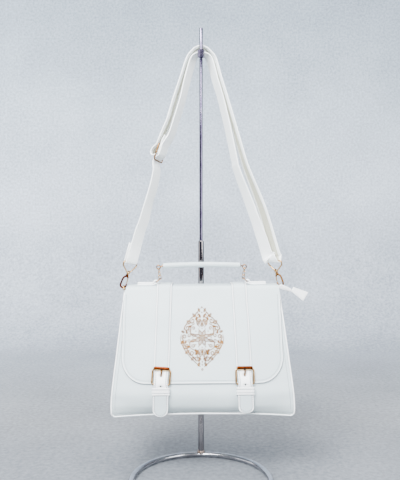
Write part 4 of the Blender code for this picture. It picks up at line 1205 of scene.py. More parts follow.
def frame_bar(side, way):
    """Middle of the frame's upper bar, or of its lower one where way is -1."""
    mid, tall, sideways, upward, outward = frame_axes(side)
    return mid + upward * (way * tall / 2)


def buckle_frame(name, side):
    """Bent loop whose lower bar carries the chape and the prong."""
    mid, tall, sideways, upward, outward = frame_axes(side)
    # Across, height above the middle, corner radius
    outline = (
        (-FRAME_HALF, -0.5, 2.6),
        (-FRAME_HALF, 0.36, 3.0),
        (-10.4, 0.5, 2.0),
        (10.4, 0.5, 2.0),
        (FRAME_HALF, 0.36, 3.0),
        (FRAME_HALF, -0.5, 2.6),
    )
    corners = [mid + sideways * a + upward * (b * tall) for a, b, r in outline]
    loop = even(fillet(corners, [r for a, b, r in outline], 8, closed=True), 0.8, closed=True)
    rings = []
    marks = []
    for p, t in zip(loop, tangents(loop, True)):
        level = (p - mid).dot(upward) / tall
        aside = abs((p - mid).dot(sideways))
        top_share = unit((level - 0.42) / 0.06) * unit((12.6 - aside) / 1.8)
        low_share = unit((-0.42 - level) / 0.05)
        flat = 1.5 + (FRAME_TOP_HIGH - 1.5) * top_share + (PIVOT_R - 1.5) * low_share
        deep = 1.3 + (FRAME_TOP_DEEP - 1.3) * top_share + (PIVOT_R - 1.3) * low_share
        across = t.cross(outward).normalized()
        ring = []
        for a in angles(RING_SIDES, 0.5):
            u = squared(math.cos(a), 0.55)
            v = squared(math.sin(a), 0.55)
            ring.append(p + across * (flat * u) + outward * (deep * v))
        rings.append(ring)
        for k in range(RING_SIDES):
            up_way = (ring[k] + ring[(k + 1) % RING_SIDES]) / 2 - p
            # On the top bar, all but the downward faces get the painted dark reflection; the downward faces
            # get the painted highlight
            marks.append(0 if top_share <= 0.5 else 1 if up_way.dot(upward) > -flat * 0.55 else 2)
    gold_piece(f"buckle_frame_{name}", [GOLD, DARK_REFLECTION_GOLD, LIT_GOLD], [skin(rings, True)], marks=marks)


def buckle_prong(name, side, sides=14):
    """Prong coiled round the lower bar, through the belt, resting on the upper bar."""
    upward, outward = frame_axes(side)[3:]
    pivot = frame_bar(side, -1)
    head = frame_bar(side, 1)
    top_rest = head + outward * (FRAME_TOP_DEEP + PRONG_R + 0.05)
    coil = COIL_R + PIVOT_R + 0.25
    stations = [
        pivot + outward * coil * 0.1 - upward * coil,
        pivot - upward * coil * 0.7 - outward * coil * 0.7,
        pivot - outward * coil,
        pivot - outward * coil * 0.75 + upward * coil * 0.7,
        pivot - outward * coil * 0.1 + upward * 3.4,
        belt_front(side, 162.2, 2.9),
        belt_front(side, 166.2, 4.5),
        belt_front(side, 169.4, 6.9),
        belt_front(side, 173.2, 7.8),
        top_rest - upward * 1.6,
        top_rest + upward * 0.6,
    ]
    for p in stations:
        p.x = pivot.x + (head.x - pivot.x) * (p.z - pivot.z) / (head.z - pivot.z)
    path = spline(stations, 0.6)
    sizes = []
    for k, p in enumerate(path):
        thick = COIL_R + (PRONG_R - COIL_R) * unit((p.z - 159.0) / 6.0)
        left = len(path) - 1 - k
        thick += 0.35 * max(0.0, 1.0 - abs((p - top_rest).dot(upward) + 1.6) / 1.6)
        sizes.append(thick * (0.35, 0.75, 0.95, 1.0)[min(left, k, 3)])
    marks = []
    for a, b in zip(path, path[1:]):
        marks += [1 if ((a + b) / 2 - top_rest).dot(upward) > -3.0 else 0] * sides
    gold_piece(f"buckle_prong_{name}", [BRONZE, DARK], [rod(path, sizes, ACROSS, sides=sides)], marks=marks)


def chape(name, side):
    """Leather folded round the pivot bar, its two layers in the keeper."""
    sideways, upward, outward = frame_axes(side)[2:]
    pivot = frame_bar(side, -1)
    bend = PIVOT_R + FOLD_GAP + CHAPE_THICK / 2
    path = [belt_front(side, 141.0, 0.6), belt_front(side, 147.5, 0.6), pivot + outward * bend - upward * 1.0]
    for k in range(9):
        a = math.pi * k / 8
        path.append(pivot + outward * (bend * math.cos(a)) + upward * (bend * math.sin(a)))
    path.append(pivot - outward * bend - upward * 1.0)
    path += [belt_front(side, 147.5, -0.5), belt_front(side, 141.0, -0.5)]
    for p in path:
        p.x = pivot.x
    leans = [ACROSS] * 2 + [sideways] * 11 + [ACROSS] * 2
    leather_piece(f"chape_{name}", WHITE, [strip(path, leans, CHAPE_WIDE, CHAPE_THICK, crown=0.05)])


def keeper(name, side):
    """Leather loop round the chape and the belt, with two creases along its faces; the loop has the painted
    highlight, its creases painted shade.
    """
    wide = ACROSS * (BELT_WIDE / 2 + 0.4 + KEEPER_THICK / 2)
    rear = belt_front(side, KEEPER_Z, -1.75)
    front = belt_front(side, KEEPER_Z, 6.6)
    rear.x = front.x = belt_x(side, KEEPER_Z)
    corners = [rear - wide, front - wide, front + wide, rear + wide]
    loop = even(fillet(corners, [2.0] * 4, 8, closed=True), 0.9, closed=True)
    rear_lean = belt_front(side, KEEPER_Z + 6.0, 0.0) - belt_front(side, KEEPER_Z - 6.0, 0.0)
    front_lean = belt_front(side, KEEPER_Z + 6.0, 3.2) - belt_front(side, KEEPER_Z - 6.0, 0.0)
    rear_lean.x = front_lean.x = 0.0
    leans = [rear_lean.lerp(front_lean, (p.y - rear.y) / (front.y - rear.y)) for p in loop]
    half = [(0.0, 0.0), (0.1, 0.35), (0.5, 0.55), (2.6, 0.58), (3.0, 0.30), (3.4, 0.58), (4.6, 0.6)]
    body = strip(loop, leans, KEEPER_HIGH, KEEPER_THICK, closed=True, section=half, crown=0.12)
    crease_shade = [0] * 3 + [1] * 2 + [0] * 4 + [1] * 2 + [0] * 17
    leather_piece(f"keeper_{name}", [LIT_WHITE, STITCH_SHADE], [body], marks=crease_shade * len(loop))


for name, side in SIDES:
    belt(name, side)
    buckle_frame(name, side)
    buckle_prong(name, side)
    chape(name, side)
    keeper(name, side)

# Handle
HANDLE_Y = -38.5
GRIP_R = 4.5
GRIP_HALF = 65.5
GRIP_STEP = 1.31
GRIP_END_Z = 338.2
GRIP_RISE = 1.8
GRIP_CAP = ((0, -0.5), (2.4, -0.5), (2.9, 0.0), (2.9, 0.7), (2.4, 1.1), (0, 1.1))
EYE = (72.8, 336.1)
EYE_R = 3.2
EYE_WIRE = 0.9
LINK_WIRE = 0.6
LINK_WIDE = 4.4
LINK_CLEAR = 0.4
LINK_TURN = 67.5
TAB_RING_BASE = (76.4, 311.4)
TAB_RING_APEX = (70.3, 317.2)
TAB_RING_WIRE = 0.9
HANDLE_TAB_THICK = 2.2
SIDE_Y = -31.0
SIDE_TAB_X = 132.9
SIDE_TAB_FOOT = 262.0
SIDE_TAB_WIDE = 12.4
SIDE_TAB_THICK = 1.5
D_RING_WIRE = 1.1
D_RING_BASE = (129.8, 292.5)
D_RING_TOP = {-1: (133.0, 305.0), 1: (133.9, 305.2)}
D_RING_HALF = 7.4


def grip_height(x):
    return GRIP_END_Z + GRIP_RISE * (1 - (x / GRIP_HALF) ** 2)


def handle_grip():
    """Padded grip with a seam along its underside."""
    rings = []
    for k in range(101):
        x = -GRIP_HALF + GRIP_STEP * k
        p = Vector((x, HANDLE_Y, grip_height(x)))
        near = min((GRIP_HALF - abs(p.x)) / 2.0, 1.0)
        rounding = 0.72 + 0.28 * math.sqrt(max(1 - (1 - near) ** 2, 0.0))
        radius = GRIP_R * rounding + ruck(p.x, 0.0, 71.0, 11.0, 0.12)
        ring = []
        for a in angles(28):
            r = radius - 0.35 * math.exp(-((math.sin(a) + 1.0) / 0.02) ** 2)
            ring.append(p + BACKWARD * (r * math.cos(a)) + UP * (r * math.sin(a)))
        rings.append(ring)
    leather_piece("handle_grip", WHITE, [skin(rings)])
    places = [-60.0 + 2.0 * k for k in range(61)]
    line = [Vector((x, HANDLE_Y + 1.5, grip_height(x) - GRIP_R * 0.94)) for x in places]
    sewn_piece("handle_grip_stitches", THREAD, sew_flat(line, -UP + BACKWARD * 0.3))


def at_handle(side, place):
    """Point in the handle's plane, from distance aside and height."""
    return Vector((side * place[0], HANDLE_Y, place[1]))


def at_side(side, x, z, off=0.0):
    """Point in the plane of the side rings, or off millimetres behind it."""
    return Vector((side * x, SIDE_Y + off, z))


def handle_eye(name, side):
    """Round eye on a stem that goes into the grip, with a cap over the grip's end."""
    eye = at_handle(side, EYE)
    grip_end = at_handle(side, (GRIP_HALF, GRIP_END_Z))
    inward = (grip_end - eye).normalized()
    ring = [eye + (ACROSS * math.cos(a) + UP * math.sin(a)) * EYE_R for a in angles(32)]
    stem = cylinder(1.0, eye + inward * (EYE_R - 0.2), grip_end + inward * 4.0, 16)
    bodies = [rod(ring, EYE_WIRE, BACKWARD, closed=True, sides=14), stem]
    bodies.append(turned(GRIP_CAP, grip_end, -inward, 24))
    gold_piece(f"handle_eye_{name}", BRONZE, bodies)


def chain(name, side):
    """Three links from the eye to the ring on the tab, each turned from the one above."""
    apex = at_handle(side, TAB_RING_APEX)
    top = at_handle(side, EYE) - UP * (EYE_R - EYE_WIRE - LINK_WIRE - LINK_CLEAR)
    bottom = apex - UP * (TAB_RING_WIRE + LINK_WIRE + LINK_CLEAR)
    fall = (bottom - top).normalized()
    shared = 2 * LINK_WIRE + LINK_CLEAR
    link_long = ((bottom - top).length + 2 * shared) / 3
    pitch = link_long - shared
    for order, letter in enumerate("abc"):
        centre = top + fall * (pitch * order + link_long / 2)
        turn = math.radians(LINK_TURN * (order + 1))
        flat = ACROSS * math.cos(turn) + BACKWARD * math.sin(turn)
        straight = (link_long - LINK_WIDE) / 2
        loop = []
        for way in (1, -1):
            for k in range(13):
                a = math.pi * k / 12
                loop.append(centre + flat * (way * LINK_WIDE / 2 * math.cos(a))
                            - fall * (way * (straight + LINK_WIDE / 2 * math.sin(a))))
        body = rod(loop, LINK_WIRE, flat.cross(fall), closed=True, sides=12)
        gold_piece(f"chain_link_{letter}_{name}", GOLD, [body])


def tab_ring(name, side):
    base = at_handle(side, TAB_RING_BASE)
    apex = at_handle(side, TAB_RING_APEX)
    climb = apex - base
    outline = [base - BACKWARD * 7, base + BACKWARD * 7]
    outline += [base + BACKWARD * 6.4 + climb * 0.62, apex + BACKWARD * 2.6]
    outline += [apex - BACKWARD * 2.6, base - BACKWARD * 6.4 + climb * 0.62]
    loop = fillet(outline, [1.2, 1.2, 2.5, 3.0, 3.0, 2.5], 8, closed=True)
    body = rod(loop, TAB_RING_WIRE, climb.cross(BACKWARD), closed=True, sides=14)
    gold_piece(f"tab_ring_{name}", BRONZE, [body])


def handle_tab(name, side):
    """Leather folded round the tab ring's bar and sewn to the flap."""
    base = at_handle(side, TAB_RING_BASE)
    bend = TAB_RING_WIRE + FOLD_GAP + HANDLE_TAB_THICK / 2
    lower = FLAP_TOP + FOLD_GAP + HANDLE_TAB_THICK / 2
    upper = lower + HANDLE_TAB_THICK + FOLD_GAP
    path = [at_handle(side, (108.0, lower)), at_handle(side, (84.0, lower))]
    path += [base + Vector((side * 3.0, 0.0, -bend - 0.6))]
    for degrees in (-90, -45, 0, 45, 90):
        a = math.radians(degrees)
        path.append(base + Vector((-side * bend * math.cos(a), 0.0, bend * math.sin(a))))
    path.append(base + Vector((side * 3.0, 0.0, bend - 0.2)))
    path += [at_handle(side, (84.0, upper)), at_handle(side, (108.0, upper))]
    body = strip(spline(path, 0.8), BACKWARD, 10.4, HANDLE_TAB_THICK, crown=0.08)
    # The tab has the painted highlight of white leather that faces the light
    leather_piece(f"handle_tab_{name}", LIT_WHITE, [body])
    sewn = []
    upper += HANDLE_TAB_THICK / 2 + 0.02
    for way in (-1, 1):
        line = [Vector((side * x, HANDLE_Y + way * 3.6, upper)) for x in (106.5, 100.0, 94.0, 86.0)]
        sewn += sew_flat(line, UP, pitch=2.6, long=1.9, wide=0.6)
    cross = [Vector((side * 106.5, HANDLE_Y + y, upper)) for y in (-3.6, 0.0, 3.6)]
    sewn += sew_flat(cross, UP, pitch=2.4, long=1.8, wide=0.6)
    sewn_piece(f"handle_tab_{name}_stitches", THREAD, sewn)


def d_ring(name, side):
    """Ring on the gusset that the snap hook holds."""
    base = at_side(side, *D_RING_BASE)
    head = at_side(side, *D_RING_TOP[side])
    climb = head - base
    outline = [base - BACKWARD * D_RING_HALF, base + BACKWARD * D_RING_HALF]
    outline += [head + BACKWARD * D_RING_HALF, head - BACKWARD * D_RING_HALF]
    loop = fillet(outline, [1.6, 1.6, 6.0, 6.0], 10, closed=True)
    body = rod(loop, D_RING_WIRE, climb.cross(BACKWARD), closed=True, sides=14)
    gold_piece(f"d_ring_{name}", GOLD, [body])


def side_tab(name, side):
    """Leather folded round the side ring's bar and sewn to the gusset."""
    base = at_side(side, *D_RING_BASE)
    bend = D_RING_WIRE + FOLD_GAP + SIDE_TAB_THICK / 2
    path = [at_side(side, 131.0, SIDE_TAB_FOOT), at_side(side, 128.7, 284.0)]
    for degrees in (180, 135, 90, 45, 0):
        a = math.radians(degrees)
        path.append(base + Vector((side * bend * math.cos(a), 0.0, bend * math.sin(a))))
    path += [at_side(side, 130.6, 283.0), at_side(side, SIDE_TAB_X, SIDE_TAB_FOOT)]
    body = strip(spline(path, 1.0), BACKWARD, SIDE_TAB_WIDE, SIDE_TAB_THICK, crown=0.08)
    leather_piece(f"side_tab_{name}", WHITE, [body])
    out = Vector((side * 1.0, 0.0, 0.1)).normalized()
    # Each line's places as distance aside and height: two down the edges, two across
    lines = [[(way * 4.4, z) for z in (263.5, 270.0, 276.0, 281.0)] for way in (-1, 1)]
    lines += [[(y, z) for y in (-4.4, 0.0, 4.4)] for z in (263.5, 281.0)]
    sewn = []
    for places in lines:
        line = [at_side(side, SIDE_TAB_X - (z - SIDE_TAB_FOOT) * 0.11, z, y) + out * 0.76 for y, z in places]
        sewn += sew_flat(line, out, pitch=2.8, long=2.0, wide=0.6)
    sewn_piece(f"side_tab_{name}_stitches", THREAD, sewn)


handle_grip()
for name, side in SIDES:
    handle_eye(name, side)
    chain(name, side)
    tab_ring(name, side)
    handle_tab(name, side)
    d_ring(name, side)
    side_tab(name, side)

# Zip band, rolled to a stem at its right end: x, y, z, width, thickness
ZIP_STATIONS = (
    (-122.0, -37.0, 301.6, 25.4, 1.6),
    (0.0, -37.0, 301.6, 25.4, 1.6),
    (117.0, -37.0, 301.6, 25.4, 1.6),
    (122.0, -41.0, 301.6, 14.0, 1.6),
    (125.5, -46.0, 301.7, 5.0, 1.8),
    (129.4, -48.0, 301.8, 4.0, 2.0),
    (130.8, -48.0, 301.9, 4.0, 7.0),
    (133.0, -48.0, 301.9, 4.0, 8.0),
    (141.0, -48.0, 299.4, 4.0, 7.0),
    (147.0, -48.0, 296.9, 4.0, 5.5),
    (149.4, -48.0, 295.8, 3.6, 4.6),
)
ZIP_STEM_THICK = 3.0
TEETH_COUNT = 150
TEETH_PITCH = 1.55
TOOTH = ((0, -1.6), (0.45, -1.6), (0.6, -1.2), (0.6, 1.2), (0.45, 1.6), (0, 1.6))
TAB_START = Vector((151.8, -48.0, 298.0))
TAB_END = Vector((174.3, -48.0, 284.9))
TAB_STEPS = 24
TAB_HALF_THICK = 1.5
TAB_TALL = (8.2, 17.0)


def zip_size(lengths, reach, column):
    """Width or thickness of the zip band at a distance from its left end."""
    for i in range(len(lengths) - 1):
        if reach <= lengths[i + 1]:
            t = max(0.0, (reach - lengths[i]) / (lengths[i + 1] - lengths[i]))
            return ZIP_STATIONS[i][column] * (1 - t) + ZIP_STATIONS[i + 1][column] * t
    return ZIP_STATIONS[-1][column]


def zip_tape():
    stations = [Vector(row[:3]) for row in ZIP_STATIONS]
    lengths = [(p - stations[0]).length for p in stations]
    fine = spline(stations, 1.5)
    rings = []
    for p, t in zip(fine, tangents(fine)):
        wide, high = (zip_size(lengths, (p - stations[0]).length, column) for column in (3, 4))
        up = BACKWARD.cross(t).normalized()
        up = up if up.z > 0 else -up
        ring = []
        for a in angles(24, 0.5):
            fold = 1.0 + (0.08 * math.sin(9 * a + p.x * 0.25) if high > ZIP_STEM_THICK else 0.0)
            aside = wide / 2 * squared(math.cos(a), 0.6) * fold
            ring.append(p + BACKWARD * aside + up * (high / 2 * squared(math.sin(a), 0.6) * fold))
        rings.append(ring)
    piece("zip_tape_fabric", FABRIC, [skin(rings)], ["zip_tape"], "zip_fabric")


def zip_teeth():
    feet = [Vector((-119.0 + TEETH_PITCH * k, -37.0, 302.5)) for k in range(TEETH_COUNT)]
    piece("zip_teeth", FABRIC, [turned(TOOTH, foot, BACKWARD, 6) for foot in feet], slot="zip_fabric")


def zip_end_tab():
    """Flat leather tab on the zip's stem, taller at its free end, with stitches all round its front."""
    path = [TAB_START.lerp(TAB_END, k / TAB_STEPS) for k in range(TAB_STEPS + 1)]
    tall = [TAB_TALL[0] + (TAB_TALL[1] - TAB_TALL[0]) * k / TAB_STEPS for k in range(TAB_STEPS + 1)]
    up = (TAB_END - TAB_START).normalized().cross(BACKWARD).normalized()
    rings = []
    for k, p in enumerate(path):
        ends = min(k, TAB_STEPS - k)
        soft = (0.55, 0.85, 1.0)[min(ends, 2)]
        ring = []
        for a in angles(28, 0.5):
            u = squared(math.cos(a), 0.35)
            v = squared(math.sin(a), 0.35)
            pinch = 1.0 - 0.25 * math.exp(-((abs(v) - 0.8) / 0.08) ** 2)
            high = tall[k] / 2 * v * (1.0 if ends > 0 else 0.97)
            ring.append(p + BACKWARD * (TAB_HALF_THICK * u * soft * pinch) + up * high)
        rings.append(ring)
    # The tab has the painted highlight
    leather_piece("zip_end_tab", LIT_WHITE, [skin(rings)])

    def on_tab(k, share):
        return path[k] + up * (share * (tall[k] / 2 - 1.7)) - BACKWARD * TAB_HALF_THICK

    lines = [[on_tab(k, way) for k in range(1, TAB_STEPS)] for way in (-1, 1)]
    lines += [[on_tab(k, share) for share in (-1, -0.33, 0.33, 1)] for k in (1, TAB_STEPS - 1)]
    sewn = [body for line in lines for body in sew_flat(line, -BACKWARD, pitch=2.7, long=2.0, wide=0.6)]
    sewn_piece("zip_end_tab_stitches", THREAD, sewn)


zip_tape()
zip_teeth()
zip_end_tab()

# Shoulder strap. Runs give height, the middle of each layer and the twist of the strip in degrees.
STRAP_WIDTH = 24.6
STRAP_THICK = 2.2
STRAP_TOP_Y = -16.5
SLIDE_CENTRE = (-70.2, 530.8)
SLIDE_RUN = (0.287, 0.958)
SLIDE_SPAN = 14.0
SLIDE_HALF = 14.4
SLIDE_WIRE = 1.1
SLIDE_TWIST = math.radians(24.0)
RING_BAR = {-1: (-120.2, -31.0, 344.1), 1: (125.0, -34.2, 346.5)}
RING_APEX = {-1: (-124.7, 324.4), 1: (128.3, 327.7)}
HOOK_BOTTOM = {-1: (-135.4, 299.4), 1: (137.6, 302.1)}
RING_ACROSS = {-1: (-0.677, -0.719, 0.153), 1: (0.695, -0.719, 0.0)}
RING_RUN = {-1: (0.22, 0.0, 0.975), 1: (0.0, 0.0, 1.0)}
RING_HALF = 14.4
RING_WIRE = 1.2
# Height, inner x, outer x, twist
RIGHT_RUN = (
    (692.7, 14.7, 21.7, 22),
    (658.1, 24.5, 31.9, 21),
    (623.5, 34.6, 42.5, 21),
    (570.0, 47.0, 58.0, 21),
    (518.5, 57.4, 73.0, 21),
    (501.4, 61.5, 78.7, 23),
    (433.0, 86.9, 104.8, 33),
    (383.3, 104.3, 118.8, 41),
    (356.0, 113.0, 126.2, 44),
)
# Height, x, twist
LEFT_INNER = (
    (692.7, -13.9, 22),
    (658.1, -23.6, 24),
    (623.5, -32.0, 22),
    (588.6, -42.7, 22),
    (571.3, -48.0, 23),
    (559.0, -52.6, 24),
)
# Distance inward from the slide's plane, height along it
SLIDE_INNER = (
    (4.9, 14.0),
    (4.9, 6.5),
    (4.9, 1.0),
    (4.6, -2.6),
    (2.6, -6.2),
    (-0.4, -10.0),
    (-2.2, -12.6),
    (-2.5, -15.0),
    (-2.0, -20.0),
)
# Height, x, twist
LEFT_SINGLE = (
    (502.4, -76.3, 26),
    (485.0, -78.8, 28),
    (467.8, -82.9, 30),
    (450.6, -88.1, 29),
    (416.1, -97.3, 37),
    (398.9, -103.5, 39),
    (381.6, -108.4, 40),
    (365.0, -112.8, 43),
)
# Height, x, twist
LEFT_OUTER = (
    (692.7, -21.0, 22),
    (658.1, -32.4, 22),
    (623.5, -43.7, 22),
    (588.6, -53.9, 22),
    (571.3, -61.0, 23),
    (558.0, -66.4, 24),
)
# Distance inward from the slide's plane, height along it
SLIDE_OUTER = (
    (-5.2, 17.0),
    (-6.4, 12.0),
    (-10.6, 6.1),
    (-12.6, 0.0),
    (-11.0, -5.6),
    (-7.0, -7.6),
    (-3.2, -5.4),
    (-0.9, -2.6),
    (1.3, -2.1),
    (2.3, -0.8),
    (2.45, 7.0),
    (2.45, 14.0),
    (2.85, 22.0),
    (4.85, 31.0),
)

# Over the stand's hook: x, height, lean
INNER_ARCH = ((-3.4, 704.3, 0.0), (0.0, 705.6, 0.0), (3.4, 704.3, 0.0))
OUTER_ARCH = (
    (12.4, 707.4, 0.2),
    (6.6, 713.0, 0.0),
    (0.0, 714.6, 0.0),
    (-6.6, 713.0, 0.0),
    (-12.4, 707.4, -0.2),
)


def strap_y(z):
    """The strap comes forward as it falls from the stand's hook to the rings."""
    return STRAP_TOP_Y - 14.5 * (705.5 - min(max(z, 345.0), 705.5)) / 360.5


slide_centre = Vector((SLIDE_CENTRE[0], strap_y(SLIDE_CENTRE[1]), SLIDE_CENTRE[1]))
slide_run = Vector((SLIDE_RUN[0], 0.0, SLIDE_RUN[1])).normalized()
slide_out = Vector((-slide_run.z, 0.0, slide_run.x))
slide_across = slide_out * math.sin(SLIDE_TWIST) - BACKWARD * math.cos(SLIDE_TWIST)
slide_in = slide_across.cross(slide_run)
if slide_in.x < 0:
    slide_in = -slide_in


def ring_frame(side):
    """Bar's middle, direction along the bar, up the strip, and inward across it."""
    centre = Vector(RING_BAR[side])
    across = Vector(RING_ACROSS[side]).normalized()
    along = (Vector(RING_RUN[side]) - across * Vector(RING_RUN[side]).dot(across)).normalized()
    return centre, across, along, across.cross(along) * side


# Stations of the strap's one strip, and the direction of its width at each
strap_points = []
strap_across = []


def add(point, across):
    strap_points.append(point)
    strap_across.append(across)


def over_top(rows):
    """Stations over the stand's hook: x, height, lean of the strip."""
    for x, z, lean in rows:
        add(Vector((x, STRAP_TOP_Y, z)), Vector((lean, -1.0, 0.0)))


def round_bar(side, first, last, count):
    """Stations on the arc of the strip about a ring's bar, from 0 at the inner side to 180 at the outer."""
    centre, across, along, inner = ring_frame(side)
    radius = STRAP_THICK / 2 + FOLD_GAP + RING_WIRE
    for k in range(count + 1):
        a = math.radians(first + (last - first) * k / count)
        add(centre + inner * (radius * math.cos(a)) - along * (radius * math.sin(a)), across)


def leg(rows, side, column=1):
    """Stations down a side, x from the given column, with the strip's front edge turned outward."""
    for row in rows:
        turn = math.radians(row[-1])
        point = Vector((row[column], strap_y(row[0]), row[0]))
        add(point, Vector((side * math.sin(turn), -math.cos(turn), 0.0)))


def slide_leg(rows):
    for inward, rise in rows:
        add(slide_centre + slide_in * inward + slide_run * rise, slide_across)


def thread_strap():
    """The strip's whole way, from its short end at the left ring to its end at the slide."""
    bar, across, along, inner = ring_frame(-1)
    for rise, inward in ((32.0, -2.0), (22.0, -2.0), (10.0, -2.5)):
        add(bar + along * rise + inner * inward + ACROSS * rise * 0.03, across)
    round_bar(-1, 180, 0, 6)
    add(bar + along * 7.0 + inner * 2.6, across)
    leg(LEFT_SINGLE[::-1], -1)
    slide_leg(SLIDE_INNER[::-1])
    leg(LEFT_INNER[::-1], -1)
    over_top(INNER_ARCH)
    leg(RIGHT_RUN, 1)
    bar, across, along, inner = ring_frame(1)
    add(bar + inner * 9.0 + along * 4.0 - across * 2.0, across)
    add(bar + inner * 5.2 - along * 1.6, across)
    round_bar(1, 75, 180, 4)
    add(bar + along * 5.0 - inner * 2.7, across)
    leg(RIGHT_RUN[::-1], 1, 2)
    over_top(OUTER_ARCH)
    leg(LEFT_OUTER, -1)
    slide_leg(SLIDE_OUTER)


thread_strap()

# Outline of the strap: white face with turned edges, and a sunk backing between them.
# Rows: distance in from the edge, height above the middle
STRAP_FACE = ((0.0, 0.0), (0.15, 0.6), (0.6, 1.0), (1.9, 1.08), (2.3, 0.96), (2.7, 1.08), (6.0, 1.1))
STRAP_REAR = ((0.15, -0.6), (0.6, -1.0), (2.0, -1.1), (4.6, -1.1), (4.9, -0.85), (8.5, -0.78))

STRAP_STEP = 1.6
STRAP_HALF = STRAP_WIDTH / 2
HEM = 4.6
HEM_TOP = 8.0
STRAP_SEAM_INSET = 2.3


def strap_outline(hem):
    """Section of the strap with turned edges hem millimetres wide."""
    rear = [(d + (hem - HEM if d > 4.0 else 0.0) * (1.0 if d < 8.0 else 0.5), v) for d, v in STRAP_REAR]
    face = [(STRAP_HALF - d, v) for d, v in STRAP_FACE] + [(0.0, 1.12)]
    face += [(d - STRAP_HALF, v) for d, v in reversed(STRAP_FACE)]
    under = [(d - STRAP_HALF, v) for d, v in rear] + [(0.0, -0.78)]
    return face + under + [(STRAP_HALF - d, v) for d, v in reversed(rear)]


def strap_stations():
    """Close stations down the strap, each with the directions across it and out of its face."""
    path = spline(strap_points, STRAP_STEP)
    turns = []
    for i, (a, b) in enumerate(zip(strap_across, strap_across[1:])):
        count = max(1, round((strap_points[i + 1] - strap_points[i]).length / STRAP_STEP))
        turns += [a.lerp(b, k / count * k / count * (3 - 2 * k / count)) for k in range(count)]
    turns.append(strap_across[-1])
    return [(p, *face_axes(t, a)) for p, t, a in zip(path, tangents(path), turns)]


def strap_body(stations):
    """The strip itself: soft ends, a slow wave, hems that widen with height, and a sunk backing."""
    rings = []
    for i, (p, flat, up) in enumerate(stations):
        ends = min(i, len(stations) - 1 - i)
        soft = (0.5, 0.85, 1.0)[min(ends, 2)]
        free = min(ends / 12.0, 1.0)
        cup = 0.25 * noise.noise(p / 40.0) * free
        ring = []
        for u, v in strap_outline(HEM + (HEM_TOP - HEM) * unit((p.z - 430.0) / 170.0)):
            grain = noise.noise(Vector((u / 9.0, p.z / 16.0, p.x / 16.0)))
            wave = cup * (u / STRAP_HALF) ** 2 + 0.12 * grain * free
            ring.append(p + flat * (u * (0.97 if ends == 0 else 1.0)) + up * (v * soft + wave))
        rings.append(ring)
    first = 2 * len(STRAP_FACE) + 5
    round_one = [1 if first <= k < first + 4 else 0 for k in range(len(rings[0]))]
    marks = round_one * (len(rings) - 1) + [0, 0]
    looks = [STRAP, BACKING]
    bodies = [skin(rings)]
    nodes = ["shoulder_strap"]
    piece("shoulder_strap_leather", looks, bodies, nodes, "strap_leather", on_bag=False, marks=marks)


def strap_stitches(stations):
    """Rows near both edges, on the face and on the rear."""
    sewn = []
    for way in (1, -1):
        for face_way, height in ((1, 0.98), (-1, 1.08)):
            normals = [up * face_way for p, flat, up in stations]
            line = []
            for (p, flat, up), out in zip(stations, normals):
                line.append(p + flat * (way * (STRAP_HALF - STRAP_SEAM_INSET)) + out * height)
            sewn += stitch_row(line, normals, pitch=3.6, long=2.6, wide=0.6, high=0.2, lift=0.02)
    sewn_piece("shoulder_strap_stitches", THREAD, sewn, "strap_leather", on_bag=False)


def strap_slide():
    """Three-bar slide: a loop of wire with a bar across its middle."""
    end = slide_across * SLIDE_HALF
    corners = []
    for a, b in ((-1, -1), (1, -1), (1, 1), (-1, 1)):
        corners.append(slide_centre + slide_across * (a * SLIDE_HALF) + slide_run * (b * SLIDE_SPAN))
    loop = fillet(corners, [2.0] * 4, 8, closed=True)
    bodies = [
        rod(loop, SLIDE_WIRE, slide_in, closed=True, sides=14),
        cylinder(SLIDE_WIRE - 0.05, slide_centre - end, slide_centre + end, 14),
    ]
    gold_piece("strap_adjuster", BRONZE, bodies, on_bag=False)


stations = strap_stations()
strap_body(stations)
strap_stitches(stations)
strap_slide()

# Lathed profiles along the hook's axis, as radius and distance from the ring's apex
BOSS = ((0, -3.3), (2.2, -3.3), (2.75, -2.9), (2.9, -2.2), (2.9, 0.5), (2.75, 1.2), (2.2, 1.6), (0, 1.6))
POST = (
    (0, -5.1), (1.1, -5.1), (1.5, -4.8), (1.5, -3.9), (1.2, -3.6), (0.95, -3.6),
    (0.95, 1.9), (2.3, 1.9), (2.6, 2.2), (2.6, 4.3), (2.3, 4.6), (0, 4.6),
)
HOOK_BEND = 4.7
HOOK_R = 1.6
GATE_R = 0.95
GATE_PIN = (-2.9, 6.6)
EAR_OFF = 1.75


def hook_axes(side):
    """Apex of the strap ring, and the directions down the hook and outward."""
    apex, bottom = (Vector((x, SIDE_Y, z)) for x, z in (RING_APEX[side], HOOK_BOTTOM[side]))
    down = (bottom - apex).normalized()
    out = Vector((down.z, 0.0, -down.x)) * -side
    return apex, down, -out if out.x * side < 0 else out


def swivel_eye(name, side):
    """Strap ring with its bored boss."""
    apex, down = hook_axes(side)[:2]
    bar = Vector(RING_BAR[side])
    fall = apex - bar
    across = Vector(RING_ACROSS[side])
    across = (across - fall.normalized() * across.dot(fall.normalized())).normalized()
    tip = apex + fall.normalized() * 0.8
    outline = [bar - across * RING_HALF, bar + across * RING_HALF]
    outline += [bar + across * RING_HALF + fall * 0.33, tip, bar - across * RING_HALF + fall * 0.33]
    loop = fillet(outline, [2.2, 2.2, 4.0, 2.0, 4.0], 8, closed=True)
    bodies = [rod(loop, RING_WIRE, across.cross(fall), closed=True, sides=14), turned(BOSS, apex, down, 28)]
    gold_piece(f"swivel_eye_{name}", GOLD, bodies, on_bag=False)


def on_hook(side, places):
    """Points of a hook from distance outward, distance down and, where given, distance backward."""
    apex, down, out = hook_axes(side)
    found = []
    for aside, along, *away in places:
        found.append(apex + out * aside + down * along + BACKWARD * (away[0] if away else 0.0))
    return found


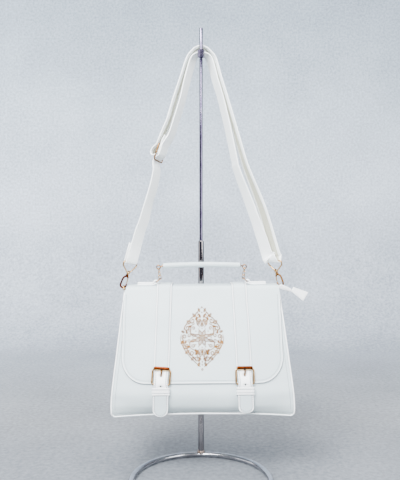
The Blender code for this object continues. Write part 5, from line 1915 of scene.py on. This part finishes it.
def gate_pin(side, radius, first, last, sides=20):
    """Round body on the gate's axis, between two distances backward."""
    start, end = on_hook(side, [(*GATE_PIN, first), (*GATE_PIN, last)])
    return cylinder(radius, start, end, sides)


def hook_body(name, side):
    """Snap hook with its swivel post and the two ears that hold the gate's pin."""
    apex, down = hook_axes(side)[:2]
    places = [(0.3, 3.4), (1.4, 5.4), (3.4, 7.6), (4.5, 10.4), (HOOK_BEND, 15.0), (HOOK_BEND, 20.0)]
    for k in range(1, 7):
        a = math.pi * k / 6
        places.append((HOOK_BEND * math.cos(a), 20.9 + HOOK_BEND * math.sin(a)))
    places += [(-HOOK_BEND, 18.6), (-4.6, 17.0)]
    fine = spline(on_hook(side, places), 0.7)
    radii = []
    for k in range(len(fine)):
        share = k / (len(fine) - 1)
        radius = HOOK_R + 0.4 * max(0.0, 1 - share / 0.12) - 0.45 * max(0.0, (share - 0.88) / 0.12)
        radii.append(radius * (0.6 if k in (0, len(fine) - 1) else 1.0))
    bodies = [rod(fine, radii, BACKWARD, sides=18), turned(POST, apex, down, 24)]
    section = [(0.0, 0.0), (0.05, 1.0), (0.2, 1.3)]
    for off in (-EAR_OFF, EAR_OFF):
        ear = on_hook(side, [(0.6, 4.2, off), (-0.8, 5.2, off), (*GATE_PIN, off)])
        bodies.append(strip(ear, BACKWARD, 0.9, 2.7, section=section))
        bodies.append(gate_pin(side, 1.3, off - 0.45, off + 0.45))
    bodies.append(gate_pin(side, 0.6, -2.1, 2.1, 14))
    # The left hook has the painted dark reflection; the right one has the brown rose gold
    gold_piece(f"hook_body_{name}", DARK_REFLECTION_GOLD if side < 0 else BRONZE, bodies, on_bag=False)


def hook_gate(name, side):
    """Sprung gate, which rides its own body."""
    path = spline(on_hook(side, [GATE_PIN, (-3.4, 9.5), (-4.2, 14.4), (-4.5, 16.4)]), 0.8)
    radii = [GATE_R] * (len(path) - 1) + [0.6]
    bodies = [rod(path, radii, BACKWARD, sides=16), gate_pin(side, 1.45, -1.0, 1.0)]
    gold_piece(f"hook_gate_{name}", GOLD, bodies, body=f"{name}_gate", on_bag=False)


for name, side in SIDES:
    swivel_eye(name, side)
    hook_body(name, side)
    hook_gate(name, side)

# Stand
BASE_RADIUS = 109.5
BASE_TUBE_R = 4.75
TUBE_R = 5.2
TUBE_TOP = 380.0
ROD_R = 3.0
ARM_Z = 701.0
ARM_Y = -36.0
HOOK_TIP = 742.0
TUBE_FOOT = 2 * BASE_TUBE_R * math.cos(math.pi / 8) + 0.3
BORE_R = 3.3
BORE_FLOOR = 320.0
ROD_IN_TUBE = 55.0

# Weld at the tube's foot: radius, height above the joint
WELD_ROWS = ((4.4, -3.2), (5.9, -1.6), (6.9, -0.3), (7.0, 0.8), (6.2, 2.2), (5.5, 3.8), (5.1, 5.2))

# Hexagonal collar on the hook's arm: radius, height
COLLAR = (
    (0, 691.3), (5.0, 691.3), (6.0, 692.3), (6.0, 697.0), (5.6, 697.4),
    (5.6, 698.8), (6.0, 699.2), (6.0, 703.9), (5.0, 704.9), (0, 704.9),
)


def stand_piece(name, look, bodies, nodes=(), **more):
    piece(name, look, bodies, nodes, "chrome", on_bag=False, **more)


def base_ring():
    centre = Vector((0.0, -BASE_RADIUS, BASE_TUBE_R))
    path = [centre + Vector((math.sin(a), math.cos(a), 0.0)) * BASE_RADIUS for a in angles(180)]
    tube = rod(path, BASE_TUBE_R, UP, closed=True, sides=28)
    stand_piece("base_ring_tube", CHROME_FLAT, [tube], ["base_ring"])


def lower_tube():
    """Tube on the base ring, bored for the rod."""
    profile = (
        (0, TUBE_FOOT), (TUBE_R, TUBE_FOOT), (TUBE_R, TUBE_TOP - 0.6), (TUBE_R - 0.5, TUBE_TOP),
        (BORE_R + 0.2, TUBE_TOP), (BORE_R, TUBE_TOP - 1.0), (BORE_R, BORE_FLOOR), (0, BORE_FLOOR),
    )
    stand_piece("lower_tube_metal", CHROME, [turned(profile, (0, 0, 0), UP, 40)], ["lower_tube"], crease=30.0)


def weld():
    """Uneven bead between the tube and the ring."""
    rings = []
    for radius, height in WELD_ROWS:
        ring = []
        for a in angles(48):
            grow = 1.0 + 0.09 * noise.noise(Vector((math.cos(a) * 2.4, math.sin(a) * 2.4, height * 0.4)))
            x, y = math.cos(a) * radius * grow, math.sin(a) * radius * grow * 0.92
            ring.append(Vector((x, y, TUBE_FOOT - 0.2 + height)))
        rings.append(ring)
    stand_piece("weld_bead", WELD, [skin(rings)])


def upper_rod():
    """Rod in the tube, bent to a hook that ends in a rounded tip, with its collar."""
    corners = [(0.0, TUBE_TOP - ROD_IN_TUBE), (0.0, ARM_Z), (ARM_Y, ARM_Z), (ARM_Y, HOOK_TIP - 1.0)]
    path = fillet([Vector((0.0, y, z)) for y, z in corners], [0, 5.0, 4.0, 0], 12)[:-1]
    path += [Vector((0.0, ARM_Y, HOOK_TIP - below)) for below in (1.6, 0.8, 0.2, 0.0)]
    radii = [ROD_R] * (len(path) - 3) + [ROD_R - 0.15, ROD_R - 0.7, ROD_R - 1.5]
    bodies = [rod(path, radii, ACROSS, sides=28), turned(COLLAR, (0.0, ARM_Y, 0.0), UP, 6)]
    stand_piece("upper_rod_metal", CHROME_ROD, bodies, ["upper_rod"])


base_ring()
lower_tube()
weld()
upper_rod()

# Gilt medallion on the flap: plain scrolls and leaves about a rosette, the same on both sides
CREST_X = -0.2
CREST_Z = 224.0
CREST_LIFT = FLAP_LIFT + 0.06


def ribbon(points, width, taper=True):
    """Thin raised line of foil; points are right and up from the medallion's middle."""
    rings = []
    count = len(points)
    for i, (u, v) in enumerate(points):
        a = points[max(i - 1, 0)]
        b = points[min(i + 1, count - 1)]
        long = math.hypot(b[0] - a[0], b[1] - a[1]) or 1.0
        nu, nv = -(b[1] - a[1]) / long, (b[0] - a[0]) / long
        share = i / (count - 1)
        swelling = 0.35 + 0.65 * math.sin(math.pi * min(share * 1.3, 1.0 - share * 0.4)) if taper else 1.0
        size = width * 0.95 * swelling
        ring = []
        for way, high in ((1.0, 0.0), (0.6, 0.2), (-0.6, 0.2), (-1.0, 0.0)):
            x = CREST_X + (u + nu * size * way) * (1.0 - 0.0048 * max(v, 0.0))
            z = CREST_Z + v + nv * size * way
            ring.append(front_point(x, z, CREST_LIFT + high))
        rings.append(ring)
    return skin(rings)


def scroll(u, v, size, start, turns, width):
    """Spiral that winds in about a point; start in degrees, turns signed."""
    steps = max(10, int(abs(turns) * 26))
    points = []
    for k in range(steps + 1):
        share = k / steps
        a = math.radians(start) + 2 * math.pi * turns * share
        r = size * (1 - 0.86 * share ** 0.8)
        points.append((u + r * math.cos(a), v + r * math.sin(a)))
    return ribbon(points, width)


def leaf(u, v, long, wide, lean, width=0.7):
    """Outline of a pointed leaf from its foot, with a vein."""
    along = (math.cos(math.radians(lean)), math.sin(math.radians(lean)))
    found = []
    for way in (1, -1):
        points = []
        for k in range(13):
            share = k / 12
            out = way * wide / 2 * math.sin(math.pi * share ** 0.8)
            right = u + along[0] * long * share - along[1] * out
            points.append((right, v + along[1] * long * share + along[0] * out))
        found.append(ribbon(points, width, taper=False))
    vein = [(u + along[0] * long * s, v + along[1] * long * s) for s in (0.15, 0.35, 0.55, 0.72)]
    found.append(ribbon(vein, width * 0.8))
    return found


def arc(points, width):
    """Smooth line through a few points."""
    fine = spline([Vector((u, 0.0, v)) for u, v in points], 1.0)
    return ribbon([(p.x, p.z) for p in fine], width)


def bead(u, v, radius):
    turns = [2 * math.pi * k / 12 for k in range(13)]
    points = [(u + radius * math.cos(a), v + radius * math.sin(a)) for a in turns]
    return ribbon(points, radius * 0.5, taper=False)


# Right-hand scrolls: middle right, up, size, first angle, turns, width
SCROLLS = (
    (9.0, 36.0, 5.5, 200.0, 1.3, 0.9),
    (17.5, 26.5, 6.0, 100.0, -1.4, 1.0),
    (26.0, 15.5, 6.2, 120.0, -1.5, 1.0),
    (28.6, 1.5, 5.2, 250.0, 1.4, 0.9),
    (21.5, 4.0, 4.0, 60.0, 1.3, 0.8),
    (25.0, -12.5, 5.8, 60.0, -1.4, 1.0),
    (17.0, -22.5, 5.6, 80.0, -1.4, 0.9),
    (8.5, -31.0, 5.0, 150.0, 1.4, 0.9),
    (14.5, 14.5, 3.8, 300.0, 1.3, 0.8),
    (14.0, -11.5, 3.8, 40.0, -1.3, 0.8),
    (5.6, 26.5, 3.2, 240.0, -1.2, 0.7),
    (22.0, 11.5, 3.0, 20.0, 1.2, 0.7),
    (31.5, -5.5, 2.8, 100.0, 1.2, 0.7),
    (21.5, -4.5, 3.4, 300.0, -1.2, 0.7),
    (10.5, -24.0, 3.0, 20.0, 1.2, 0.7),
    (4.6, -24.5, 2.8, 200.0, -1.2, 0.7),
)

# Right-hand leaves: foot right, up, length, width, lean in degrees
LEAVES = (
    (4.0, 40.0, 7.0, 3.0, 55.0),
    (13.5, 32.0, 7.5, 3.2, 48.0),
    (21.5, 22.0, 8.0, 3.4, 35.0),
    (29.5, 8.5, 6.0, 2.8, 20.0),
    (29.0, -6.5, 6.0, 2.8, -20.0),
    (21.5, -19.0, 7.5, 3.2, -40.0),
    (13.0, -28.5, 7.0, 3.0, -50.0),
    (4.0, -37.0, 6.5, 2.8, -62.0),
    (6.0, 20.5, 8.0, 3.2, 60.0),
    (6.0, -18.5, 8.0, 3.2, -60.0),
    (0.6, 17.5, 12.0, 4.6, 76.0),
    (0.6, -17.5, 12.0, 4.6, -76.0),
    (10.5, 2.5, 8.0, 3.4, 28.0),
    (10.5, -2.5, 8.0, 3.4, -28.0),
    (3.0, 31.0, 6.5, 2.8, 64.0),
    (3.0, -30.0, 6.5, 2.8, -64.0),
    (18.5, 18.0, 5.5, 2.4, -10.0),
    (24.5, 6.5, 5.0, 2.2, 60.0),
    (25.5, -4.0, 5.0, 2.2, -70.0),
    (19.5, -14.0, 5.5, 2.4, 10.0),
    (12.0, 27.5, 5.0, 2.2, 120.0),
    (11.0, -17.0, 5.0, 2.2, -110.0),
)

# Right-hand lines that tie the scrolls together
LINES = (
    ((1.5, 46.5), (7.0, 42.0), (14.0, 34.5), (21.0, 29.5), (27.5, 22.5), (31.5, 13.0)),
    ((33.8, 6.0), (34.8, -1.0), (32.5, -9.0), (27.5, -18.5), (20.5, -27.5), (12.0, -36.0), (3.0, -43.5)),
    ((30.5, 4.0), (30.8, -4.0), (27.0, -13.0), (19.0, -24.0), (10.0, -33.0)),
    ((3.0, 15.5), (9.0, 22.0), (9.0, 29.0), (3.5, 34.0)),
    ((15.5, 2.0), (19.5, 10.0), (19.0, 18.0), (13.0, 22.0)),
    ((15.5, -2.0), (19.5, -8.0), (18.5, -15.0), (11.0, -19.5)),
    ((3.0, -15.5), (8.0, -22.0), (7.0, -28.0), (1.5, -32.5)),
)

# Beads on the middle line: up, radius
MIDDLE_BEADS = ((47.0, 1.1), (39.0, 0.9), (-36.0, 0.9), (-40.5, 0.9), (-47.5, 1.3), (0.0, 1.8))
ROSETTE_FOOT = 3.2
BEAD_RING = 14.6


def medallion():
    """Both halves of the scrolls, leaves and lines, then the rosette, its beads and the middle beads."""
    crest = []
    for mirror in (1, -1):
        for u, v, size, start, turns, width in SCROLLS:
            first = start if mirror > 0 else 180.0 - start
            crest.append(scroll(mirror * u, v, size, first, turns * mirror, width))
        for u, v, long, wide, lean in LEAVES:
            crest += leaf(mirror * u, v, long, wide, lean if mirror > 0 else 180.0 - lean)
        for points in LINES:
            crest.append(arc([(mirror * u, v) for u, v in points], 0.8))
    for k in range(8):
        lean = 45.0 * k + 22.5
        a = math.radians(lean)
        crest += leaf(ROSETTE_FOOT * math.cos(a), ROSETTE_FOOT * math.sin(a), 9.5, 4.6, lean, 0.75)
    for k in range(16):
        a = math.pi * k / 8
        crest.append(bead(BEAD_RING * math.cos(a), BEAD_RING * math.sin(a), 0.7))
    crest += [bead(0.0, v, radius) for v, radius in MIDDLE_BEADS]
    piece("flap_medallion", FOIL, crest, slot="rose_gold", crease=50.0)


medallion()
